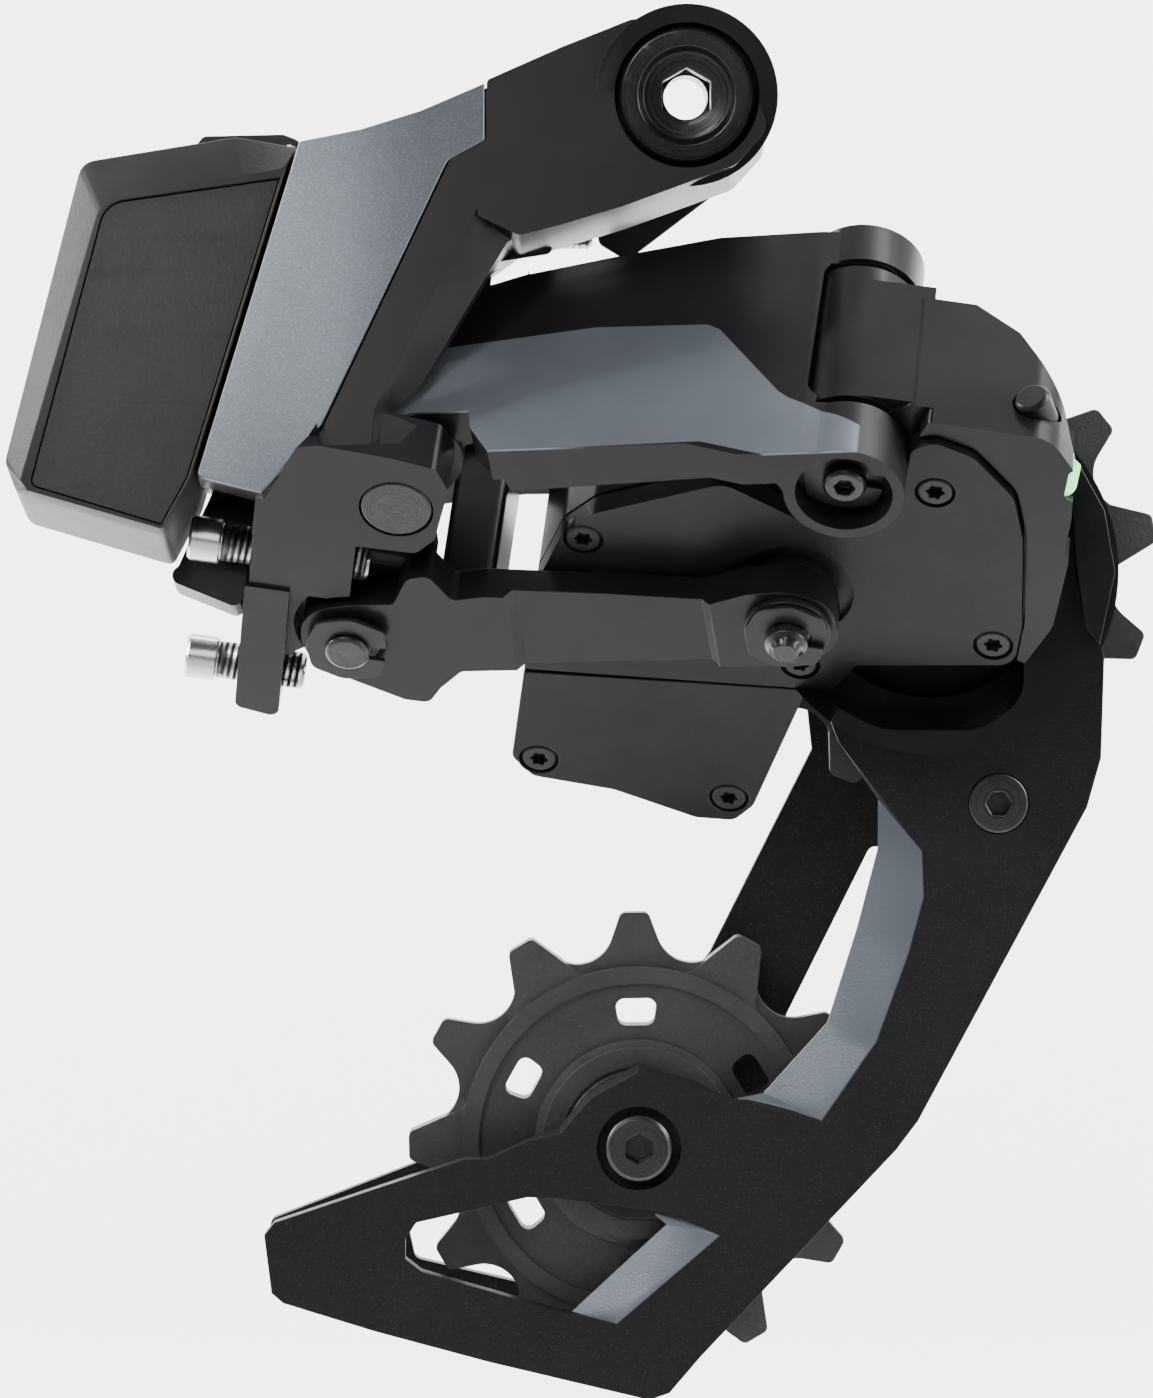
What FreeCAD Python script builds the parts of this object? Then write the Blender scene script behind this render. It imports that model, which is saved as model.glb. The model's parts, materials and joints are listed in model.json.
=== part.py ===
import FreeCAD, Part
import math
import os
import Sketcher

# Rear derailleur for a road bicycle, millimetres.
# Row frame: the mounting bolt's axis meets the hanger's outer face at the origin.
# X runs forward along the bicycle, Y runs inboard to the wheel, Z runs up.

V = FreeCAD.Vector
Rot = FreeCAD.Rotation
Place = FreeCAD.Placement

doc = FreeCAD.newDocument("rear_derailleur")
dims = doc.addObject("Spreadsheet::Sheet", "dims")

SIZES = {
    # how the two working planes lean
    "skin_lean": 12.0,
    "pin_lean": 133.0,
    "pin_twist": 8.0,
    # linkage: pivot places on the pin plane, and how the links stand at rest
    "pin_a_u": -24.2,
    "pin_a_v": -19.9,
    "pin_c_u": -27.5,
    "pin_c_v": -40.1,
    "link_length": 47.3,
    "link_angle": 13.83,
    "pin_radius": 2.5,
    "bush_radius": 2.55,
    "bush_outer": 3.4,
    # heights along the pins
    "rear_plate_back": 19.4,
    "rear_plate_front": 22.6,
    "upper_ear_back": 13.2,
    "upper_ear_front": 18.6,
    "barrel_back": 19.2,
    "barrel_front": 40.0,
    "lower_ear_back": 40.6,
    "lower_ear_front": 48.0,
    "front_plate_back": 44.0,
    "front_plate_front": 48.4,
    "box_back": 23.4,
    "box_front": 40.0,
    "cover_back": 40.4,
    "cover_front": 43.0,
    "tray_back": 29.0,
    "gear_floor": 30.6,
    # mounting bolt and its boss
    "bolt_thread": 5.0,
    "bolt_shoulder": 6.0,
    "bolt_head": 7.25,
    "bolt_head_low": 12.7,
    "bolt_head_top": 15.5,
    "boss_radius": 9.6,
    "boss_back": 2.7,
    "boss_front": 16.0,
    "washer_top": 2.4,
    # outer skin of the rear knuckle and the battery
    "skin_top": 15.65,
    "skin_under": 14.4,
    "battery_back": -4.0,
    # front knuckle and chain cage
    "cage_x": 26.8,
    "cage_z": -50.6,
    "knuckle_radius": 19.6,
    "knuckle_back": -8.0,
    "knuckle_front": 6.0,
    "outer_plate_back": -11.6,
    "outer_plate_skin": -11.0,
    "outer_plate_front": -9.0,
    "inner_plate_back": -24.0,
    "inner_plate_front": -22.0,
    "tension_x": -4.8,
    "tension_z": -114.4,
    "pulley_mid": -16.8,
    "pulley_teeth": 12.0,
    "pulley_tip": 25.4,
    "pulley_bore": 4.06,
    "axle_radius": 4.0,
    # drive inside the housing
    "gear_module": 0.5,
    "output_teeth": 30.0,
    "idler_small_teeth": 12.0,
    "idler_large_teeth": 24.0,
    "motor_teeth": 10.0,
}
for row, (alias, value) in enumerate(SIZES.items(), start=1):
    dims.set("A%d" % row, alias)
    dims.set("B%d" % row, str(value))
    dims.setAlias("B%d" % row, alias)
doc.recompute()

nodes = []


# ---------------------------------------------------------------- helpers
def number(value):
    """The value of a size name, of a (size name, offset) pair, or of a plain number."""
    if isinstance(value, tuple):
        return SIZES[value[0]] + value[1]
    return SIZES[value] if isinstance(value, str) else float(value)


def term(value):
    """The same as a spreadsheet expression."""
    if isinstance(value, tuple):
        return "(dims.%s + (%s))" % value
    return "dims." + value if isinstance(value, str) else "(%s)" % value


PLAN = Rot(V(1, 0, 0), 90)
SKIN = Rot(V(1, 0, 0), 90 - SIZES["skin_lean"])
PINS = Rot(V(0, 1, 0), SIZES["pin_twist"]) * Rot(V(1, 0, 0), SIZES["pin_lean"])
SIDE = PINS * Rot(V(1, 0, 0), 90)
LINK = PINS * Rot(V(0, 0, 1), SIZES["link_angle"])

swing = math.radians(SIZES["link_angle"])
reach = V(math.cos(swing), math.sin(swing), 0) * SIZES["link_length"]
PIN_A = V(SIZES["pin_a_u"], SIZES["pin_a_v"], 0)
PIN_B = PIN_A + reach
PIN_C = V(SIZES["pin_c_u"], SIZES["pin_c_v"], 0)
PIN_D = PIN_C + reach
CAGE = (SIZES["cage_x"], SIZES["cage_z"])
TENSION = (SIZES["tension_x"], SIZES["tension_z"])


def polar(centre, radius, degrees):
    """A point at a radius and an angle from a centre."""
    angle = math.radians(degrees)
    return V(centre[0] + radius * math.cos(angle), centre[1] + radius * math.sin(angle), 0)


def new_body(label, frame, base=None):
    body = doc.addObject("PartDesign::Body", label)
    body.Label = label
    body.Placement = Place(base or V(), frame)
    return body


def keep(item):
    nodes.append(item)
    return item


def plane_of(body, role):
    return next(plane for plane in body.Origin.OriginFeatures if plane.Role == role)


def sketch_at(body, height, frame=None, base=None):
    """A sketch at a height along the normal of the body's plane, or of another frame."""
    sketch = body.newObject("Sketcher::SketchObject", body.Name + "_outline")
    sketch.AttachmentSupport = [(plane_of(body, "XY_Plane"), "")]
    sketch.MapMode = "FlatFace"
    lift = Place(V(0, 0, number(height)), Rot())
    if frame is None:
        sketch.AttachmentOffset = lift
        sketch.setExpression("AttachmentOffset.Base.z", term(height))
    else:
        sketch.AttachmentOffset = body.Placement.inverse() * Place(base or V(), frame) * lift
    return sketch


def hole(x, y, radius):
    return ("circle", x, y, radius)


def flat(point):
    return V(point[0], point[1], 0)


def draw(sketch, loop):
    """Draws a circle, or an outline whose corners may carry a rounding radius."""
    if loop[0] == "circle":
        x, y, radius = loop[1:]
        index = sketch.addGeometry(Part.Circle(V(x, y, 0), V(0, 0, 1), number(radius)))
        bound = sketch.addConstraint(Sketcher.Constraint("Radius", index, number(radius)))
        sketch.setExpression("Constraints[%d]" % bound, term(radius))
        return
    ends = []
    for i, corner in enumerate(loop):
        here = flat(corner)
        radius = corner[2] if len(corner) > 2 else 0
        if not radius:
            ends.append((here, None, here))
            continue
        back = (flat(loop[i - 1]) - here).normalize()
        ahead = (flat(loop[(i + 1) % len(loop)]) - here).normalize()
        half = back.getAngle(ahead) / 2
        run = radius / math.tan(half)
        inward = (back + ahead).normalize() * (radius / math.sin(half) - radius)
        ends.append((here + back * run, here + inward, here + ahead * run))
    for i, (start, middle, end) in enumerate(ends):
        if middle is not None:
            sketch.addGeometry(Part.Arc(start, middle, end))
        following = ends[(i + 1) % len(ends)][0]
        if (following - end).Length > 1e-6:
            sketch.addGeometry(Part.LineSegment(end, following))


def sketch_of(body, loops, height, frame=None, base=None):
    sketch = sketch_at(body, height, frame, base)
    for loop in loops:
        draw(sketch, loop)
    return sketch


def pad(body, loops, low, high, frame=None, base=None):
    """Adds the outlines as solid between two heights."""
    feature = body.newObject("PartDesign::Pad", body.Name + "_pad")
    feature.Profile = sketch_of(body, loops, low, frame, base)
    feature.setExpression("Length", "%s - %s" % (term(high), term(low)))
    return feature


def cut(body, loops, low, high, frame=None, base=None):
    """Removes the outlines between two heights."""
    feature = body.newObject("PartDesign::Pocket", body.Name + "_cut")
    feature.Profile = sketch_of(body, loops, high, frame, base)
    feature.setExpression("Length", "%s - %s" % (term(high), term(low)))
    return feature


def slab(label, frame, loops, low, high, base=None):
    body = keep(new_body(label, frame, base))
    pad(body, loops, low, high)
    return body


def loft(body, kind, rows, back, front, frame=None):
    """Adds or cuts a straight loft; a row of four numbers has its own front corner."""
    feature = body.newObject("PartDesign::" + kind, body.Name + "_loft")
    feature.Profile = sketch_of(body, [[row[:2] for row in rows]], back, frame)
    feature.Sections = [sketch_of(body, [[row[-2:] for row in rows]], front, frame)]
    feature.Ruled = True
    return feature


def turned(label, frame, base, profile):
    """A body of revolution about the frame's normal; profile holds (radius, height) corners."""
    body = new_body(label, frame, base)
    sketch = body.newObject("Sketcher::SketchObject", label + "_profile")
    sketch.AttachmentSupport = [(plane_of(body, "XZ_Plane"), "")]
    sketch.MapMode = "FlatFace"
    points = [V(number(radius), number(height), 0) for radius, height in profile]
    for i, point in enumerate(points):
        sketch.addGeometry(Part.LineSegment(point, points[(i + 1) % len(points)]))
    for i, (radius, height) in enumerate(profile):
        sketch.addConstraint(Sketcher.Constraint("Coincident", i - 1 if i else len(profile) - 1, 2, i, 1))
        for kind, axis, value in (("DistanceX", -2, radius), ("DistanceY", -1, height)):
            if number(value) == 0:
                sketch.addConstraint(Sketcher.Constraint("PointOnObject", i, 1, axis))
                continue
            bound = sketch.addConstraint(Sketcher.Constraint(kind, -1, 1, i, 1, number(value)))
            sketch.setExpression("Constraints[%d]" % bound, term(value))
    feature = body.newObject("PartDesign::Revolution", label + "_turn")
    feature.Profile = sketch
    feature.ReferenceAxis = (sketch, ["V_Axis"])
    feature.Angle = 360
    return body


def tube(label, frame, base, inner, outer, low, high):
    return turned(label, frame, base, [(inner, low), (outer, low), (outer, high), (inner, high)])


def hexagon(x, y, across_flats, turn=0):
    return [tuple(polar((x, y), across_flats / math.sqrt(3), 60 * i + turn))[:2] for i in range(6)]


def star(x, y, outer, inner):
    """A six-lobed recess."""
    return [tuple(polar((x, y), inner if i % 2 else outer, 30 * i))[:2] + (0.2,) for i in range(12)]


def group(label, bodies):
    """One node of several separate solids."""
    item = doc.addObject("Part::Compound", label)
    item.Label = label
    item.Links = bodies
    return keep(item)


def at_pin(pin):
    return PINS.multVec(pin)


# ---------------------------------------------------------------- hanger side
def hanger_side():
    bolt = keep(turned("b_bolt", PLAN, V(), [
        (2.35, -9), ("bolt_thread", -9), ("bolt_thread", 0), ("bolt_shoulder", 0),
        ("bolt_shoulder", "bolt_head_low"), ("bolt_head", "bolt_head_low"),
        ("bolt_head", ("bolt_head_top", -0.4)), (("bolt_head", -0.4), "bolt_head_top"),
        (5.2, "bolt_head_top"), (4.6, ("bolt_head_top", -0.9)), (2.35, ("bolt_head_top", -1.1))]))
    cut(bolt, [hexagon(0, 0, 5.1, 30)], 6, ("bolt_head_top", 0.5))
    slab("hanger_washer", PLAN, [[
        (8.2, -3.0), (7.4, -7.1, 0.8), (-6.2, -17.4, 1.2), (-9.2, -15.6, 0.8), (-9.6, -13.2, 0.6),
        (-8.3, -3.0), (-8.3, 3.0, 4), (-4, 8.6, 4), (4, 8.6, 4), (8.2, 3.0, 4)],
        hole(0, 0, ("bolt_shoulder", 0.01))], 0, "washer_top")


# ---------------------------------------------------------------- rear knuckle
def link_room(pin, radius, start, end):
    """The space that a link sweeps about a pin, from the start direction clockwise to the end."""
    first, last = start + 90, end - 90
    if last < first:
        last += 360
    part = (last - first) / 4
    side = radius / math.cos(math.radians(part))
    near_start, near_end = polar(pin, radius, first), polar(pin, radius, last)
    loop = [polar(near_start, 70, start), near_start, polar(pin, side, first + part),
            polar(pin, side, last - part), near_end, polar(near_end, 70, end)]
    return [(point.x, point.y, radius if i in (2, 3) else 0) for i, point in enumerate(loop)]


REST = SIZES["link_angle"]
SWUNG = REST - 62
FASCIA = [(-40.8, -8.3), (-34.4, -7.0), (-28.1, -5.0), (-21.3, -2.0), (-21.3, -8.2), (-25.2, -10.4, 1),
          (-38.3, -38.7, 2), (-44.6, -45.8), (-51.3, -44.1, 0.5), (-44.5, -21.1)]


def rear_knuckle():
    body = keep(new_body("b_knuckle", PLAN))
    pad(body, [[(-21.0, -8.0), (-21.1, -1.7, 0.6), (-13.4, 1.8), (-5.8, 4.9, 2), (4, 5, 3), (8.6, -6.8, 2),
                (5.0, -10.9, 2), (-6.5, -15.2, 1), (-13.4, -17.3), (-17.6, -18.4, 1), (-22.3, -16.2),
                (-24.6, -10.6)]], 4.0, "skin_top", SKIN)
    pad(body, [hole(0, 0, "boss_radius")], "boss_back", "boss_front")
    # shoulder behind the painted skin, and the skin's own bed
    pad(body, [[(-39.5, -10.0, 1), (-28, -7), (-21, -4), (-17, -17, 2), (-24, -22), (-36, -25), (-42, -22)]],
        0, 12, SKIN)
    # wall and ears along the pins
    pad(body, [[(-39, -6), (-30.6, -6), (-30.2, -20), (-31, -33), (-30.5, -45.6, 2), (-36, -45.6, 3),
                (-39, -36, 1)]], "upper_ear_back", 46.4, PINS)
    pad(body, [[(-39, -8), (-33, -5), (-18, -4), (-17.8, -18, 5), (-22, -26.3, 6), (-30, -26.3, 2),
                (-34, -30)]], "upper_ear_back", "upper_ear_front", PINS)
    pad(body, [[(-39, -14), (-33, -12.2, 1), (-25.4, -12.6), (-20.6, -13.3, 1.2), (-19.0, -16.2, 1),
                (-19.8, -23.6, 1.5), (-21.6, -26, 1), (-39, -26.5)]], ("lower_ear_back", 0.6),
        "lower_ear_front", PINS)
    pad(body, [[(-38.9, -25), (-20.6, -25), (-19.4, -31.0, 1), (-22, -34.5, 1), (-22, -42, 3),
        (-26, -46.4, 3),
                (-38, -46.4, 1)]], ("rear_plate_front", 0.5), ("front_plate_back", -0.5), PINS)
    # everything outboard of the painted skin's bed is taken off, then the bed and the strut are added
    cut(body, [[(-54, 0), (-22, 0), (-22, -30), (-30, -40.8), (-38.0, -41.4), (-39.2, -37.4), (-44.8, -46.2),
                (-54, -44.5)]], "skin_under", 40, SKIN)
    pad(body, [[(-40.9, -8.6), (-34.4, -7.1), (-28.1, -5.1), (-20.0, -1.8), (-20.0, -8.0), (-24.6, -10.2),
                (-37.8, -38.6), (-44.5, -45.8), (-51.2, -44.0), (-44.5, -21.1)]],
        9, "skin_under", SKIN)
    strut = [(-19.0, -7.0), (-24.9, -10.3), (-38.0, -38.7), (-37.4, -41.6), (-30.6, -41.0, -33.2, -41.4),
             (-30.4, -37.8, -32.8, -37.1), (-17.2, -15.4, -21.4, -14.1), (-16.0, -9.0, -19.9, -8.2)]
    pad(body, [[row[:2] for row in strut]], 9, 12, SKIN)
    loft(body, "AdditiveLoft", strut, 12, "skin_top", SKIN)
    # stop bosses for the two limit screws
    pad(body, [[(-38.8, -25), (-28, -25), (-28, -34.6), (-38.8, -34.6)]], 40, 48.0, PINS)
    pad(body, [[(-39.2, -34), (-34.4, -34), (-34.2, -53.4, 1), (-39, -52.6, 1)]], 40, 48.4, PINS)
    # lug that carries the height screw
    pad(body, [[(-20.5, -9.5), (-14.2, -9.5), (-14.2, -16.6, 0.8), (-20.5, -17.6, 0.8)]], -0.6, 9, PLAN)
    cut(body, [FASCIA], "skin_under", 30, SKIN)
    # room for both links over their whole swing
    cut(body, [link_room(PIN_A, 7.1, REST, SWUNG)], ("barrel_back", -0.4), ("lower_ear_back", 0.6), PINS)
    for low, high in ((("front_plate_back", -0.45), ("front_plate_front", 6)),
                      (("rear_plate_back", -0.4), ("rear_plate_front", 0.45))):
        cut(body, [link_room(PIN_C, 6.2, REST, SWUNG)], low, high, PINS)
    heel = [polar(PIN_C, run, turn) for run, turn in ((0, 0), (14, -30), (14, -85), (13.2, -120),
        (7.6, -140))]
    cut(body, [[(point.x, point.y) for point in heel]], ("front_plate_back", -0.45),
        ("front_plate_front", 6), PINS)
    # seat of the contact block, and bores
    cut(body, [[(-42.2, -9), (-39.2, -9), (-49.0, -43.3), (-51.9, -43.3)]], -2.6, 9.3, SKIN)
    cut(body, [hole(0, 0, 6.6)], 0, 20)
    cut(body, [hole(0, 0, 7.65)], ("bolt_head_low", -0.6), 20)
    for pin in (PIN_A, PIN_C):
        cut(body, [hole(pin.x, pin.y, "pin_radius")], 8, 52, PINS)
    cut(body, [hole(PIN_A.x, PIN_A.y, 3.95)], ("lower_ear_front", -1.4), 52, PINS)
    cut(body, [hole(0, 0, 2.0)], -30, 30, *height_screw_place())
    for place in limit_screw_places():
        cut(body, [hole(0, 0, 2.0)], -30, 6, *place)
    # seat of the battery latch
    cut(body, [[(-47, -1), (-38.6, -4.5), (-38.6, -9.4), (-47, -9.4)]], -6, 10.6, PLAN)
    pad(body, [[(-44.2, -8.2, 1), (-44.2, -4.8, 1), (-40.6, -4.6, 1), (-36, -8.4), (-33, -14), (-36, -20),
                (-41.4, -18), (-40.6, -12)]], -6.8, -4.3, SKIN)
    pad(body, [[(-39.6, -12), (-36, -9.4), (-33, -14), (-36, -20), (-40.9, -18)]], -4.4, 0.5, SKIN)
    cut(body, [hole(-42.4, -6.4, 0.8)], -8, -3, SKIN)
    return body


def height_screw_place():
    """Along the screw, which points forward and a little up at the washer's tab."""
    return Rot(V(0, 1, 0), 90), V(-9.9, -1.2, -14.1)


def limit_screw_places():
    """The two stop screws lie across the pins and point at the inner link."""
    frame = PINS * Rot(V(0, 1, 0), 90)
    return [(frame, at_pin(V(-26.4, -31.4, 44.9))), (frame, at_pin(V(-31.9, -49.0, 45.2)))]


def screw_body(label, frame, base, length, head_radius, head_height, thread_radius, socket):
    """A cap screw whose tip is at the base and whose head lies backward along the frame."""
    body = turned(label, frame, base, [
        (0, 0), (thread_radius - 0.4, 0), (thread_radius, -0.5), (thread_radius, -length),
        (head_radius - 0.2, -length), (head_radius, -length - 0.2),
        (head_radius, -length - head_height + 0.3), (head_radius - 0.3, -length - head_height),
        (0, -length - head_height)])
    cut(body, [hexagon(0, 0, socket)], -length - head_height - 0.1, -length - head_height + 1.6)
    return body


def knuckle_parts():
    slab("knuckle_fascia", SKIN, [FASCIA], ("skin_under", 0.02), "skin_top")
    slab("skid_plate", SKIN, [[(-50.4, -42.4), (-51.3, -44.4), (-54.1, -50.7, 0.5), (-56.2, -51.7, 1),
                                (-47.4, -55.3, 1), (-45.6, -43.4)]], -8.5, -1.7)
    keep(tube("b_bushing", PLAN, V(), ("bolt_shoulder", 0.05), 6.6, ("boss_back", 0.2),
        ("bolt_head_low", -0.6)))
    keep(tube("b_seal_ring", PLAN, V(), 6.6, 7.6, ("bolt_head_low", -0.58), ("bolt_head_low", -0.05)))
    frame, base = height_screw_place()
    keep(screw_body("b_adjust_screw", frame, base, 12, 1.9, 0.6, 2.0, 2.5))
    screws = []
    for name, (frame, base), length in zip(("high", "low"), limit_screw_places(), (15.9, 9.6)):
        screws.append(screw_body(name + "_limit", frame, base, length, 2.4, 3.4, 2.0, 2.5))
    group("limit_screws", screws)
    keep(turned("pivot_pin_a", PINS, at_pin(PIN_A), [
        (0, "upper_ear_back"), ("pin_radius", "upper_ear_back"), ("pin_radius", ("lower_ear_front", -1.5)),
        (0, ("lower_ear_front", -1.5))]))
    keep(turned("pivot_cap_a", PINS, at_pin(PIN_A), [
        (0, ("lower_ear_front", -1.4)), (3.9, ("lower_ear_front", -1.4)), (3.9, ("lower_ear_front", -0.3)),
        (3.6, ("lower_ear_front", 0)), (0, ("lower_ear_front", 0))]))
    keep(turned("pivot_pin_c", PINS, at_pin(PIN_C), [
        (0, 17.8), ("pin_radius", 17.8), ("pin_radius", 49.2), (2.0, 49.2), (2.0, 49.9),
        (2.4, 49.9), (2.4, 50.3), (2.0, 50.6), (0, 50.6)]))
    clip_ring("clip_c", at_pin(PIN_C), 49.2)
    # contact block between knuckle and battery
    slab("battery_dock", SKIN, [[(-41.6, -11), (-39.8, -10.6), (-49.2, -43.3), (-51.0, -42.8)]], -1.6, 8.98)
    pins = []
    for i in range(4):
        pin = turned("contact_%d" % i, Rot(V(0, 1, 0), -90 + 17), dock_point(-20 - 5 * i, 3), [
            (0, 0.02), (0.7, 0.02), (0.7, 1.3), (0.4, 1.7), (0, 1.7)])
        pins.append(pin)
    group("contact_pins", pins)


def dock_point(height, depth):
    """A place on the battery's side of the contact block."""
    across = -41.6 + 0.2955 * (height + 11)
    return SKIN.multVec(V(across, height, depth))


def clip_ring(label, base, height):
    """An E-clip: a thin ring with a mouth and two reliefs."""
    slab(label, PINS, [[(2.1, -0.9), (4.2, -0.9, 0.3), (3.6, -3.4, 1.0), (0, -4.6, 2.5), (-3.6, -3.4, 1.4),
                               (-4.6, 0, 2.5), (-3.6, 3.4, 1.4), (0, 4.6, 2.5), (3.6, 3.4, 1.0),
                               (4.2, 0.9, 0.3),
                               (2.1, 0.9), (1.2, 2.06), (-1.2, 2.06), (-2.1, 0.6), (-2.1, -0.6),
                               (-1.2, -2.06), (1.2, -2.06)]], height + 0.02, height + 0.6, base)


# ---------------------------------------------------------------- battery
def faceted(loop, parts=5):
    """The outline with each rounding made of short straight runs."""
    points = []
    for i, corner in enumerate(loop):
        here = flat(corner)
        if len(corner) < 3:
            points.append((here.x, here.y))
            continue
        back = (flat(loop[i - 1]) - here).normalize()
        ahead = (flat(loop[(i + 1) % len(loop)]) - here).normalize()
        run = corner[2] / math.tan(back.getAngle(ahead) / 2)
        for k in range(parts + 1):
            t = k / parts
            point = (here + back * run) * (1 - t) ** 2 + here * (2 * t * (1 - t)) + (here + ahead * run) * t ** 2
            points.append((point.x, point.y))
    return points


def battery():
    # the walls, then a rim that slopes up to the flat face
    outer = [(-63.8, -10.1, 2.2), (-51.2, -8.0), (-47.6, -7.4), (-41.15, -8.5), (-44.9, -21.1),
             (-51.7, -44.3), (-54.7, -50.2, 1), (-70.2, -45.6, 2), (-71.5, -42.2, 2)]
    face = [(-61.5, -14.5, 3.0), (-50.4, -12.6), (-46.8, -12.0), (-42.2, -11.3), (-45.15, -21.1),
            (-51.95, -44.25), (-54.8, -49.7, 0.6), (-69.0, -45.6, 0.3), (-69.7, -44.6, 0.3)]
    body = slab("battery_case", SKIN, [faceted(outer)], "battery_back", ("skin_top", -2.0))
    slope = [low + high for low, high in zip(faceted(outer), faceted(face))]
    loft(body, "AdditiveLoft", slope, ("skin_top", -2.0), "skin_top")
    cut(body, [[(-61.2, -14.9, 3), (-42.75, -12.2), (-45.4, -21.1), (-52.2, -44.2), (-54.9, -49.3),
                (-68.8, -45.1, 0.8)]], ("skin_top", -0.8), 20)
    cell_places = [(-60.6, -22.0), (-64.4, -36.6)]
    for x, y in cell_places:
        cut(body, [[(x - 6.6, y - 6.2, 1), (x + 8.6, y - 6.2, 1), (x + 12.2, y + 6.2, 1),
            (x - 3.4, y + 6.2, 1)]],
            ("battery_back", 1.4), ("skin_top", -2.2))
    # recess for the contacts, and the rim that the latch holds on the top edge
    cut(body, [[(-43.0, -17.6), (-48.9, -37.6), (-52.0, -36.8), (-46.1, -16.8)]], 1.4, 4.6)
    pad(body, [[(-52.4, -8.4), (-50.0, -6.5), (-48.9, -7.8)]], -3.2, 2)
    slab("battery_panel", SKIN, [[
        (-61.1, -15.0, 2.9), (-42.87, -12.33), (-45.52, -21.1), (-52.3, -44.15), (-54.95, -49.15),
        (-68.65, -45.0, 0.7)]], ("skin_top", -0.78), ("skin_top", -0.25))
    cells = []
    for i, (x, y) in enumerate(cell_places):
        cell = new_body("cell_%d" % i, SKIN)
        pad(cell, [[(x - 6.3, y - 5.9, 1), (x + 8.3, y - 5.9, 1), (x + 11.9, y + 5.9, 1),
            (x - 3.1, y + 5.9, 1)]],
            ("battery_back", 1.6), ("skin_top", -2.4))
        cells.append(cell)
    group("battery_cells", cells)
    contacts = []
    for i in range(4):
        contact = new_body("pad_%d" % i, Rot(V(0, 1, 0), -73), dock_point(-20 - 5 * i, 3))
        pad(contact, [[(-1.2, -1.2, 0.3), (1.2, -1.2, 0.3), (1.2, 1.2, 0.3), (-1.2, 1.2, 0.3)]], 1.85, 2.2)
        contacts.append(contact)
    group("battery_contacts", contacts)


def battery_latch():
    """A lever on the knuckle whose hook holds the rim on the battery's top edge."""
    body = slab("battery_latch", SKIN, [[
        (-44.0, -7.6, 0.6), (-42.4, -8.0, 1.4), (-40.9, -7.0, 1.4), (-41.0, -5.2, 1.4), (-43.0, -4.4, 1),
        (-51.6, -4.6, 0.8), (-52.6, -5.9, 0.3), (-51.3, -6.3), (-48.4, -6.2), (-46.6, -6.4, 1)],
        hole(-42.4, -6.4, 0.85)], -3.4, 2.2)
    keep(turned("latch_pin", SKIN, SKIN.multVec(V(-42.4, -6.4, 0)), [(0, -6.8), (0.8, -6.8), (0.8, 2.6),
        (0, 2.6)]))
    return body


# ---------------------------------------------------------------- links
def outer_link():
    base = at_pin(PIN_A)
    length = SIZES["link_length"]
    body = keep(new_body("outer_link", LINK, base))
    # a plate outboard of the pins, cut to its outline seen from outboard
    pad(body, [[(0, 2.4), (0, 6.2), (length - 4, 6.2), (length + 3.0, 5.4, 2),
                (length + 5.8, 2.0, 1.5), (length - 6, 1.9), (6, 1.9)]], "upper_ear_back", "lower_ear_front")
    side = LINK * Rot(V(1, 0, 0), 90)
    far = 30
    cut(body, [[(-12, 10), (12, 10), (12, 18.9), (8.2, 20.4), (-12, 20.4)]], -far, far, side, base)
    cut(body, [[(10, 10), (50, 10), (50, 13.8), (32.4, 14.3), (21.2, 16.7), (12.2, 18.9)]],
        -far, far, side, base)
    cut(body, [[(-12, 39.9), (7.8, 39.9), (8.2, 42.4), (10.4, 46.0), (31.2, 46.0), (38.6, 48.6), (44, 48.9),
                (60, 48.9), (60, 60), (-12, 60)]], -far, far, side, base)
    cut(body, [[(44.0, 19.0, 1.5), (43.4, 38.4, 2), (46.6, 40.3, 1), (60, 40.4), (60, 18.8), (46, 18.8)]],
        -far, far, side, base)
    cut(body, [hole(length, 0, 6.65)], 18.9, 40.3)
    # barrel on the rear pin, and the two ears on the front pin
    pad(body, [hole(0, 0, 6.2)], "barrel_back", "barrel_front")
    pad(body, [[(-2, 4.2), (0, -1.0), (9, 1.4), (10, 5.4), (2, 5.8)]], 20.6, 39.4)
    for low, high in (("upper_ear_back", "upper_ear_front"), ("lower_ear_back", "lower_ear_front")):
        pad(body, [hole(length, 0, 6.3)], low, high)
        pad(body, [[(length - 7, 2.2), (length - 5.2, -1.5), (length, -3), (length, 4),
            (length - 7, 4)]], low, high)
    # one rib inside each long edge
    pad(body, [[(11, 2.4), (12, -0.4), (34, 0.6), (length - 6, 2.4)]], 42.6, 45.4)
    pad(body, [[(4, 2.4), (4, 0.2), (34, 0.6), (length - 6, 2.4)]], 20.6, 22.4)
    # bores
    cut(body, [hole(0, 0, "bush_outer")], 10, 50)
    cut(body, [hole(length, 0, "pin_radius")], 10, 50)
    cut(body, [hole(length, 0, 5.1)], ("lower_ear_front", -3.2), 52)
    return body


def outer_link_parts():
    length = SIZES["link_length"]
    base = at_pin(PIN_A)
    bushes = [
        tube("bush_a_low", PINS, base, "bush_radius", "bush_outer", "barrel_back", 25),
        tube("bush_a_high", PINS, base, "bush_radius", "bush_outer", 34, "barrel_front")]
    group("bushings_a", bushes)
    pin = keep(turned("pivot_pin_b", PINS, at_pin(PIN_B), [
        (0, "upper_ear_back"), ("pin_radius", "upper_ear_back"), ("pin_radius", 44.9), (1.9, 44.9),
        (1.9, 45.7), (2.3, 45.7), (2.3, 46.7), (1.9, 47.1), (0, 47.1)]))
    cut(pin, [hexagon(0, 0, 2.0)], 45.9, 48)
    clip_ring("clip_b", at_pin(PIN_B), 44.95)


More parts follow.
